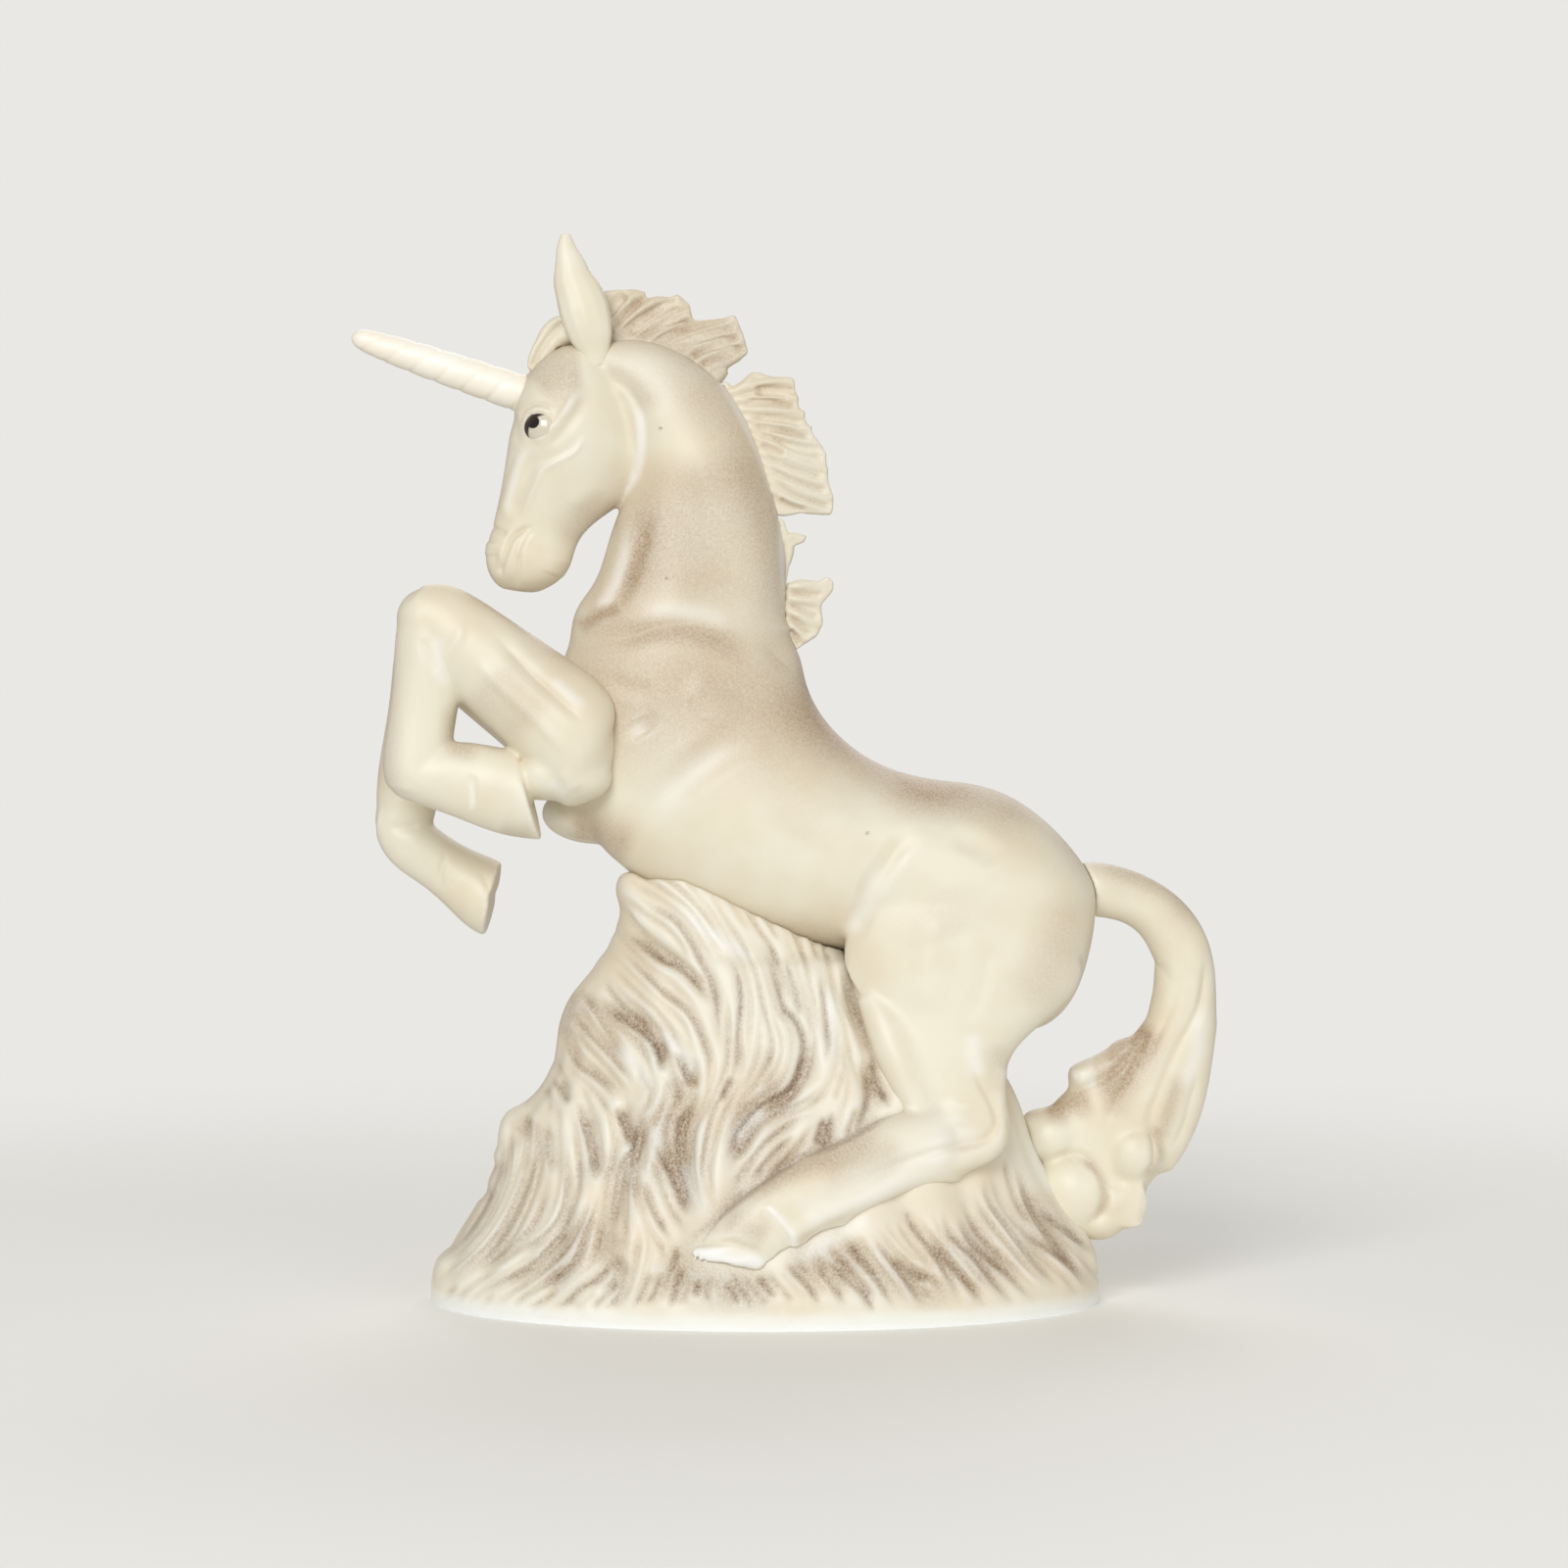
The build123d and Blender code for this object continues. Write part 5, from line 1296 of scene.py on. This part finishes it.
@dataclass
class Horse:
    """The body of the unicorn: torso, neck, head and hind legs, modelled as one lump and then cut."""

    voxel: float = 0.45
    rounds: int = 8  # of smoothing
    head: Place = (-38.0, 140.0)  # behind which X, and over which Z, the mesh is made finer, mm
    cut_turn: float = 0.4  # how nearly a face points as the lump did; the faces of a cut point elsewhere
    melt: tuple[tuple[Point, float, int], ...] = (
        ((-20.0, -14.0, 134.0), 26.0, 50),
        ((-36.0, -6.0, 176.0), 16.0, 30),
        ((30.0, -18.0, 84.0), 26.0, 60),
        ((36.0, -20.0, 36.0), 12.0, 30),
        ((24.0, -26.0, 28.0), 12.0, 30),
        ((25.0, -22.0, 51.0), 15.0, 60),
        ((-43.0, 0.0, 138.0), 14.0, 220),
        ((-36.0, 0.0, 97.0), 13.0, 30),
    )
    staining: Staining = Staining(BODY_WASH_AND_SHADE, BODY_WIPE_AND_HIGHLIGHT, 0.35, 0.35, 0.25, lines=(LEG_EDGE_SHADE,))

    def build(self, material: bpy.types.Material) -> tuple[Vector, Vector]:
        """Models the lump, cuts it into its pieces and dresses them.

        Args:
            material: their material.

        Returns:
            The point of the head where the left eye sits, and the outward direction there.
        """
        clay = Clay(copy_of("horse", ["torso", "neck", "head", "left_hind_leg", "right_hind_leg"]))
        plugs = [ball(middle, radii) for middle, radii in PLUGS]
        plugs += [Lock(path, radii, 1.0, tuple(side * y for y in depths)).roll()
                  for path, radii, depths in HIND_ROLLS for side in (-1, 1)]
        clay.join(*plugs)
        clay.fuse(self.voxel)
        clay.smooth(self.rounds)
        clay.melt(self.melt)
        self.refine_head(clay)
        clay.press(HEAD_STROKES + NECK_STROKES + TORSO_STROKES + HIND_STROKES)
        clay.smooth(1)
        clay.points[:, 1] = np.clip(clay.points[:, 1], -REACH, REACH)
        clay.write()
        skin = clay.skin(*EYE_PLACE)
        hollows = clay.hollows(12)
        tree = KDTree(len(clay.points))
        for index, point in enumerate(clay.points):
            tree.insert(point, index)
        tree.balance()
        normals = clay.normals()
        for name, thing in self.pieces(clay.thing).items():
            piece = Clay(thing)
            found = [tree.find_n(point, 4) for point in piece.points]
            nearest = np.array([[index for _, index, _ in row] for row in found])
            weights = 1 / (np.array([[gap for _, _, gap in row] for row in found]) + 0.01)
            weights /= weights.sum(1)[:, None]
            piece.directions = (normals[nearest] * weights[..., None]).sum(1)
            piece.directions /= np.linalg.norm(piece.directions, axis=1)[:, None]
            self.staining.apply(piece, (hollows[nearest] * weights).sum(1))
            store(thing, "ink", piece.heights(SPECKS))
            finished(thing, name + "_casting", "bisque", material, name)
            self.heal(thing, piece.directions)
        bpy.data.objects.remove(clay.thing)
        return skin

    def heal(self, thing: bpy.types.Object, normals: np.ndarray) -> None:
        """Shades a piece as the lump was, so that no seam shows where it was cut; the cuts stay flat.

        Args:
            thing: the piece.
            normals: the direction in which the lump faced at each of its points.
        """
        mesh = thing.data
        sizes = numbers(mesh.polygons, "loop_total", kind=np.int64)
        faces = np.repeat(numbers(mesh.polygons, "normal", 3), sizes, axis=0)
        wanted = normals[numbers(mesh.loops, "vertex_index", kind=np.int64)]
        turned = (wanted * faces).sum(1) < self.cut_turn
        wanted[turned] = faces[turned]
        mesh.normals_split_custom_set(wanted.tolist())

    def refine_head(self, clay: Clay) -> None:
        """Gives the head a mesh that is fine enough for its lids and nostrils."""
        mesh = clay.thing.data
        clay.write()
        centres = numbers(mesh.polygons, "center", 3) / MM
        chosen = (centres[:, 0] < self.head[0]) & (centres[:, 2] > self.head[1])
        with editing(clay.thing):
            bpy.ops.mesh.select_mode(type="FACE")
        mesh.polygons.foreach_set("select", chosen)
        with editing(clay.thing):
            bpy.ops.mesh.subdivide(number_cuts=1)
        clay.read()
        clay.smooth(2)

    def pieces(self, lump: bpy.types.Object) -> dict[str, bpy.types.Object]:
        """Cuts the lump into its pieces.

        Args:
            lump: the lump, which stays whole.

        Returns:
            The pieces by the names of their nodes.
        """
        cutters = {
            "head": prism(HEAD_CUT, -CUT_REACH, CUT_REACH),
            "neck": prism(NECK_CUT, -CUT_REACH, CUT_REACH),
            "left_hind_leg": prism(LEG_CUT, -LEG_CUT_REACH, -LEG_CUT_DEPTH),
            "right_hind_leg": prism(LEG_CUT, LEG_CUT_DEPTH, LEG_CUT_REACH),
        }
        rest = twin(lump)
        made = {}
        for name, cutter in cutters.items():
            made[name] = twin(rest)
            cut(made[name], cutter, keep_inside=True)
            cut(rest, cutter, keep_inside=False)
            bpy.data.objects.remove(cutter)
        made["torso"] = rest
        return made


@dataclass(frozen=True)
class Meadow:
    """Blades of grass that flow along the drawn grooves and fill what is left between them."""

    drawn: tuple[Path, ...]
    area: Path
    gap: float = 2.1  # from one blade to the next, mm
    step: float = 0.8
    shortest: float = 8.0
    longest: float = 56.0
    clearance: float = 0.93  # how far a blade starts from all others, as a share of the gap
    nearest: float = 0.4  # how near to another one it ends, as a share of the gap
    thinning: int = 3  # of its points every third is kept, and every third starts new blades

    def inside(self, place: np.ndarray) -> bool:
        """Tells whether a place lies in the area of the grass."""
        first = np.array(self.area)
        second = np.roll(first, -1, axis=0)
        crossing = (first[:, 1] > place[1]) != (second[:, 1] > place[1])
        rise = np.where(crossing, second[:, 1] - first[:, 1], 1.0)
        reach = first[:, 0] + (place[1] - first[:, 1]) / rise * (second[:, 0] - first[:, 0])
        return bool(np.sum(crossing & (place[0] < reach)) % 2)

    def blades(self) -> list[Path]:
        """Draws the blades.

        Returns:
            The lines of the blades, without the drawn grooves.
        """
        lines = [curve_through(path, self.step) for path in self.drawn]
        places = np.vstack([line[:-1] for line in lines])
        runs = np.vstack([np.diff(line, axis=0) / self.step for line in lines])
        taken = places.copy()
        made: list[Path] = []
        waiting = list(lines)
        while waiting:
            line = waiting.pop(0)
            run = np.gradient(line, axis=0)
            across = np.column_stack([-run[:, 1], run[:, 0]]) / (np.linalg.norm(run, axis=1)[:, None] + 1e-9)
            for index in range(0, len(line), self.thinning):
                for side in (-self.gap, self.gap):
                    seed = line[index] + across[index] * side
                    room = np.hypot(*(taken - seed).T).min()
                    if not self.inside(seed) or room < self.clearance * self.gap:
                        continue
                    blade = self.trace(seed, places, runs, taken)
                    if len(blade) * self.step >= self.shortest:
                        made.append(tuple(map(tuple, blade[:: self.thinning])))
                        taken = np.vstack([taken, blade])
                        waiting.append(blade)
        return made

    def trace(
        self, seed: np.ndarray, places: np.ndarray, runs: np.ndarray, taken: np.ndarray
    ) -> np.ndarray:
        """Draws one blade, down and up from its seed, as the grooves around it run."""
        halves = []
        for way in (-1, 1):
            place, half = seed.copy(), []
            while len(half) * self.step < self.longest / 2:
                weight = 1 / (((places - place) ** 2).sum(1) + 1) ** 2
                run = (runs * weight[:, None]).sum(0)
                place = place + way * self.step * run / np.linalg.norm(run)
                room = np.hypot(*(taken - place).T).min()
                if not self.inside(place) or room < self.nearest * self.gap:
                    break
                half.append(place)
            halves.append(half)
        return np.array(halves[0][::-1] + [seed] + halves[1])


@dataclass
class GrassMound:
    """The mound: locks of grass that run down to a smooth foot, hollow underneath."""

    voxel: float = 0.52
    foot_height: float = 2.4
    sole: float = 0.4  # up to what height the foot is ground flat, mm
    deepest: float = 2.2  # how deep a groove can get, mm
    broad_rounds: int = 60  # of smoothing, against which the depth of a broad valley is measured
    plugs: tuple[tuple[Point, Point], ...] = (  # balls that fill its vent and its inside
        ((-8.0, 0.0, 70.0), (4.0, 4.0, 8.0)),
        ((0.0, 0.0, 30.0), (50.0, 24.0, 26.0)),
    )
    hollow_radii: tuple[float, float] = (61.0, 33.0)
    hollow_flatness: float = 0.5
    hollow_height: float = 56.0
    hollow_place: float = -4.0  # the X of its middle
    staining: Staining = Staining(GRASS_WASH, GRASS_WIPE_AND_HIGHLIGHT, 1.15, 0.1, 0.1, 1.8, 0.35)

    def build(self, material: bpy.types.Material) -> None:
        """Models and dresses the mound."""
        clay = Clay(copy_of("grass_mound", ["grass_mound"]))
        clay.join(*(ball(middle, radii) for middle, radii in self.plugs), *(tuft.roll() for tuft in TUFTS))
        clay.fuse(self.voxel)
        above = smoothstep(clay.points[:, 2], self.foot_height, self.foot_height + 6)
        clay.smooth(4)
        clay.smooth(45, above)
        drawn = DEEP_GROOVES + GROOVES
        blades = Meadow(drawn, GRASS_AREA).blades()
        grass, lines, washes = (marks(rows) for rows in (GROOVE_MARKS, GROOVE_LINES, GROOVE_WASHES))
        for index, blade in enumerate(blades):
            turn = index % 3  # every third blade is alike
            grass.append(Stroke(1.5, -0.55 - 0.16 * turn, blade, Profile.CREASE, 0.25))
            lines.append(Stroke(0.8, 0.10 + 0.08 * turn, blade, taper=GROOVE_TAPER))
        grass += EDGE_STROKES
        log.info("grass: %d blades between %d grooves", len(blades), len(drawn))
        grown = smoothstep(clay.points[:, 2], self.foot_height - 1.6, self.foot_height + 1.4)
        lift = np.maximum(clay.heights(grass) * grown, -self.deepest)
        clay.points += clay.normals() * lift[:, None]
        clay.smooth(1)
        hollows, broad = clay.hollows(), clay.hollows(self.broad_rounds)
        clay.points[:, 1] = np.clip(clay.points[:, 1], -REACH, REACH)
        clay.points[clay.points[:, 2] < self.sole, 2] = 0.0
        clay.write()
        staining = replace(self.staining, washes=(*self.staining.washes, *washes), lines=(LEG_EDGE_SHADE, *lines))
        staining.apply(clay, hollows, broad)
        bpy.ops.object.select_all(action="DESELECT")
        bpy.ops.mesh.primitive_cone_add(
            vertices=96, radius1=self.hollow_radii[0] * MM, radius2=self.hollow_radii[1] * MM,
            depth=(self.hollow_height + 2) * MM,
            location=(self.hollow_place * MM, 0, (self.hollow_height / 2 - 1) * MM),
        )
        core = bpy.context.object
        core.scale = (1, self.hollow_flatness, 1)
        bpy.ops.object.transform_apply()
        cut(clay.thing, core, keep_inside=False)
        bpy.data.objects.remove(core)
        thin(clay.thing)
        finished(clay.thing, "grass_mound_casting", "stained_bisque", material, "grass_mound")


@dataclass
class Studio:
    """A pale floor that melts into a pale backdrop, soft lamps, and the camera."""

    floor_colour: str = "#f4f3ef"
    backdrop_colour: str = "#e9e8e5"
    light_colour: str = "#f6f4f0"
    light_strength: float = 0.4
    floor_radius: float = 0.7
    floor_fade: tuple[float, float] = (0.15, 0.5)  # where the floor starts and ends to melt away, m
    target: Point = (0.0, 0.0, 0.1)  # what the lamps face, m
    lamps: tuple[tuple[str, Point, float, float], ...] = (  # name, place in m, size in m and power in W
        ("key", (-0.35, -1.05, 0.62), 0.6, 8.1),
        ("fill", (0.75, -0.85, 0.35), 0.8, 2.7),
        ("back", (0.1, 0.9, 0.8), 1.0, 5.0),
    )

    def build(self) -> None:
        """Sets up the floor, the lamps, the world and the camera."""
        bpy.ops.object.select_all(action="DESELECT")
        bpy.ops.mesh.primitive_circle_add(vertices=96, radius=self.floor_radius, fill_type="NGON")
        floor = bpy.context.object
        floor.name = "floor"
        floor.data.materials.append(self.floor_material())
        self.backdrop()
        for lamp in self.lamps:
            self.lamp(*lamp)
        data = bpy.data.cameras.new("camera")
        data.lens = FOCAL_LENGTH
        data.sensor_width = FRAME_WIDTH
        data.clip_start = 0.01
        camera = placed("camera", data)
        camera.location = (0, -EYE_DISTANCE * MM, EYE_HEIGHT * MM)
        camera.rotation_euler = (np.pi / 2, 0, 0)
        bpy.context.scene.camera = camera
        bpy.context.scene.view_settings.view_transform = "Standard"

    def floor_material(self) -> bpy.types.Material:
        """Builds the floor's material: matt painted board that grows clear towards its rim."""
        material = bpy.data.materials.new("matt painted board")
        tree = empty_tree(material)
        place = add_node(tree, "ShaderNodeTexCoord")
        reach = add_node(tree, "ShaderNodeVectorMath", {0: place.outputs["Object"]}, operation="LENGTH")
        fade = add_node(tree, "ShaderNodeMapRange", {"Value": reach.outputs["Value"],
                                                     "From Min": self.floor_fade[0],
                                                     "From Max": self.floor_fade[1]},
                        interpolation_type="SMOOTHSTEP")
        board = add_node(tree, "ShaderNodeBsdfPrincipled", {"Base Color": linear(self.floor_colour),
                                                            "Roughness": 0.95})
        clear = add_node(tree, "ShaderNodeBsdfTransparent")
        both = add_node(tree, "ShaderNodeMixShader", {0: fade.outputs["Result"], 1: board.outputs["BSDF"],
                                                      2: clear.outputs["BSDF"]})
        add_node(tree, "ShaderNodeOutputMaterial", {"Surface": both.outputs["Shader"]})
        return material

    def backdrop(self) -> None:
        """Builds the world: soft even light, and the backdrop's colour behind everything."""
        world = bpy.data.worlds.new("studio")
        bpy.context.scene.world = world
        tree = empty_tree(world)
        light = add_node(tree, "ShaderNodeBackground", {"Color": linear(self.light_colour),
                                                        "Strength": self.light_strength})
        backdrop = add_node(tree, "ShaderNodeBackground", {"Color": linear(self.backdrop_colour),
                                                           "Strength": 1.0})
        rays = add_node(tree, "ShaderNodeLightPath")
        both = add_node(tree, "ShaderNodeMixShader", {0: rays.outputs["Is Camera Ray"],
                                                      1: light.outputs["Background"],
                                                      2: backdrop.outputs["Background"]})
        add_node(tree, "ShaderNodeOutputWorld", {"Surface": both.outputs["Shader"]})

    def lamp(self, name: str, place: Point, size: float, power: float) -> None:
        """Adds a square soft lamp that faces the figurine, with its place and size in metres."""
        data = bpy.data.lights.new(name, "AREA")
        data.size = size
        data.energy = power
        lamp = placed(name, data)
        lamp.location = place
        lamp.rotation_euler = (Vector(self.target) - Vector(place)).to_track_quat("-Z", "Y").to_euler()


@dataclass(frozen=True)
class EyeEnamel:
    """The painted eyes: gloss white with a round black pupil, and a dark line under the upper lid."""

    name: str = "gloss eye enamel"
    white: str = "#ddd5c2"
    black: str = "#0c0a0a"
    brown: str = "#2b1712"
    pupil: Place = (-50.35, 177.65)  # seen from the side, mm
    pupil_radius: float = 1.3
    pupil_edges: Place = (1.05, 0.92)  # from where to where its black rises, as shares of its radius
    opening: Place = (-47.5, 175.4)  # the middle of what the lids leave open
    opening_radii: Place = (3.9, 3.75)
    opening_edges: Place = (0.94, 1.04)  # from where to where the brown around it rises

    def material(self) -> bpy.types.Material:
        """Builds the material; both eyes are drawn in the XZ plane."""
        material = bpy.data.materials.new(self.name)
        tree = empty_tree(material)
        place = add_node(tree, "ShaderNodeTexCoord").outputs["Object"]
        colour = linear(self.white)
        for middle, radii, shade, edges in (
            (self.pupil, (self.pupil_radius, self.pupil_radius), self.black, self.pupil_edges),
            (self.opening, self.opening_radii, self.brown, self.opening_edges),
        ):
            centre = (middle[0] * MM, 0, middle[1] * MM)
            scale = (1 / (radii[0] * MM), 0, 1 / (radii[1] * MM))
            moved = add_node(tree, "ShaderNodeVectorMath", {0: place, 1: centre}, operation="SUBTRACT")
            scaled = add_node(tree, "ShaderNodeVectorMath", {0: moved.outputs["Vector"], 1: scale},
                              operation="MULTIPLY")
            reach = add_node(tree, "ShaderNodeVectorMath", {0: scaled.outputs["Vector"]}, operation="LENGTH")
            amount = add_node(tree, "ShaderNodeMapRange", {"Value": reach.outputs["Value"],
                                                           "From Min": edges[0], "From Max": edges[1]})
            colour = mix_colours(tree, amount.outputs["Result"], colour, linear(shade))
        surface = add_node(tree, "ShaderNodeBsdfPrincipled", {"Base Color": colour, "Roughness": 0.14,
                                                              "IOR": CERAMIC_IOR, "Coat Weight": 0.5})
        add_node(tree, "ShaderNodeOutputMaterial", {"Surface": surface.outputs["BSDF"]})
        return material


# Slip-cast ware fired once and not glazed: a warm cream, with the soft sheen of a wax rub
BISQUE = Finish("satin bisque", "#ebe5d1", "#e6dbc2", "#a98d70", "#f7f7f3", "#7c6149", "#1c1412",
                0.42, 0.5, 0.45)
# The same ware, with the brown stain left in the grass where the cloth didn't reach
STAINED_BISQUE = Finish("stained bisque", "#ebe5d3", "#e6dac2", "#93785c", "#f5f8f7", "#654b37", "#1c1412",
                        0.45, 0.5, 0.6)
# The palest of the three, for the horn: the bisque painted lighter all over as a painted highlight where the
# light falls brightest, with little stain
LIT_HORN_BISQUE = Finish("pale bisque", "#fffaee", "#fdf4e2", "#cfbda0", "#ffffff", "#a89072", "#1c1412",
                     0.38, 0.4, 0.4)

FORE_STAINING = Staining(FORE_WASH, FORE_WIPE_AND_HIGHLIGHT, 0.4, 0.15, 0.25)
TAIL_STAINING = Staining(TAIL_WASH_AND_SHADE, TAIL_WIPE_AND_HIGHLIGHT, 0.5, 0.2, 0.2)
# The half widths of the locks of each fringe, mm
POLL_RADII = (1.6, 2.0, 1.9, 1.3)
UPPER_RADII = (1.2, 1.45, 1.3, 0.8)
LOWER_RADII = (1.0, 1.3, 1.1, 0.6)
FORELOCK_RADII = (1.2, 1.6, 1.5, 1.2, 0.8)
CURL_RADII = (1.2, 1.0, 0.8)
# Balls of clay set onto a casting, and where they are smoothed into it
TAIL_CURLS = (
    ((71.2, 0, 30), (7, 8.2, 7.4)),
    ((59.2, 0, 21.8), (8.6, 8.4, 9.4)),
    ((54.6, 0, 33.4), (6.2, 6.4, 5.8)),
    ((51.8, 0, 35.2), (3.6, 4.6, 3.6)),
    ((62.2, 0, 45.2), (4.6, 4.4, 3.3)),
    ((66.6, 0, 47.6), (4.8, 4.8, 3.1)),
    ((70.2, 0, 50), (4.4, 5, 3.3)),
    ((67, 0, 20.4), (5.4, 7, 5.6)),
    ((64, 0, 16.6), (6, 6.6, 4.6)),
)
LEFT_ELBOW = (
    (spot(-48.6, 106.8, -12.5), (6, 6.4, 5.2)),
    (spot(-41.6, 106.6, -12.5), (6.6, 7, 5.2)),
    (spot(-42.2, 113, -12.5), (7.6, 7.2, 10)),
)
LEFT_ELBOW_MELT = ((spot(-43, 108, -12.5), 14, 40),)
TAIL_MELTS = (((75.6, 0, 69), 9, 90), ((66, -6, 26), 18, 16), ((71, -5, 17), 8, 50),
              ((61, -4, 42), 14, 45), ((66, 0, 47.5), 12, 60))


def hair() -> list[Hair]:
    """Lays out the forelock and the fringes of the mane, lock by lock."""
    upper = [UPPER_SPIKE] + fan((UPPER_FIRST, UPPER_MIDDLE, UPPER_LAST), 12)
    forelock = [Lock(path, FORELOCK_RADII, 1.0, (y,)) for path in FORELOCK_LOCKS for y in (-1.9, 0.0, 1.9)]
    poll = [Lock(path, POLL_RADII, 1.1) for path in (*POLL_LOCKS, POLL_ROOT)]
    lower = [Lock(path, LOWER_RADII, 1.4) for path in LOWER_LOCKS]
    return [
        Hair("forelock", forelock, FORELOCK_CREASES),
        Hair("mane_poll_fringe", poll, POLL_CREASES, 1.9, 0.9, staining=POLL_STAINING),
        Hair("mane_upper_fringe", [Lock(path, UPPER_RADII, 1.4) for path in upper], UPPER_CREASES),
        Hair("mane_crest_curl", [Lock(path, CURL_RADII, 1.3) for path in CURL_LOCKS], (), rounds=5),
        Hair("mane_lower_fringe", lower, LOWER_CREASES, 1.1, 0.6),
    ]


def main() -> None:
    """Builds the figurine, its floor and its light."""
    logging.basicConfig(level=logging.INFO, format="%(message)s")
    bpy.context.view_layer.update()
    bisque = BISQUE.material()
    GrassMound().build(STAINED_BISQUE.material())
    skin = Horse().build(bisque)
    Eyes().build(EyeEnamel().material(), skin)
    Horn().build(LIT_HORN_BISQUE.material())
    for piece in (
        Casting("left_foreleg", LEFT_FORE_STROKES, -12.0, FORE_STAINING, LEFT_ELBOW, LEFT_ELBOW_MELT),
        Casting("right_foreleg", RIGHT_FORE_STROKES, 12.0, FORE_STAINING),
        Casting("tail", TAIL_STROKES, 0.0, TAIL_STAINING, TAIL_CURLS, TAIL_MELTS),
        Ear("left_ear", -5.5),
        Ear("right_ear", 5.5),
        *hair(),
    ):
        piece.build(bisque)
    Studio().build()


if __name__ == "__main__":
    main()
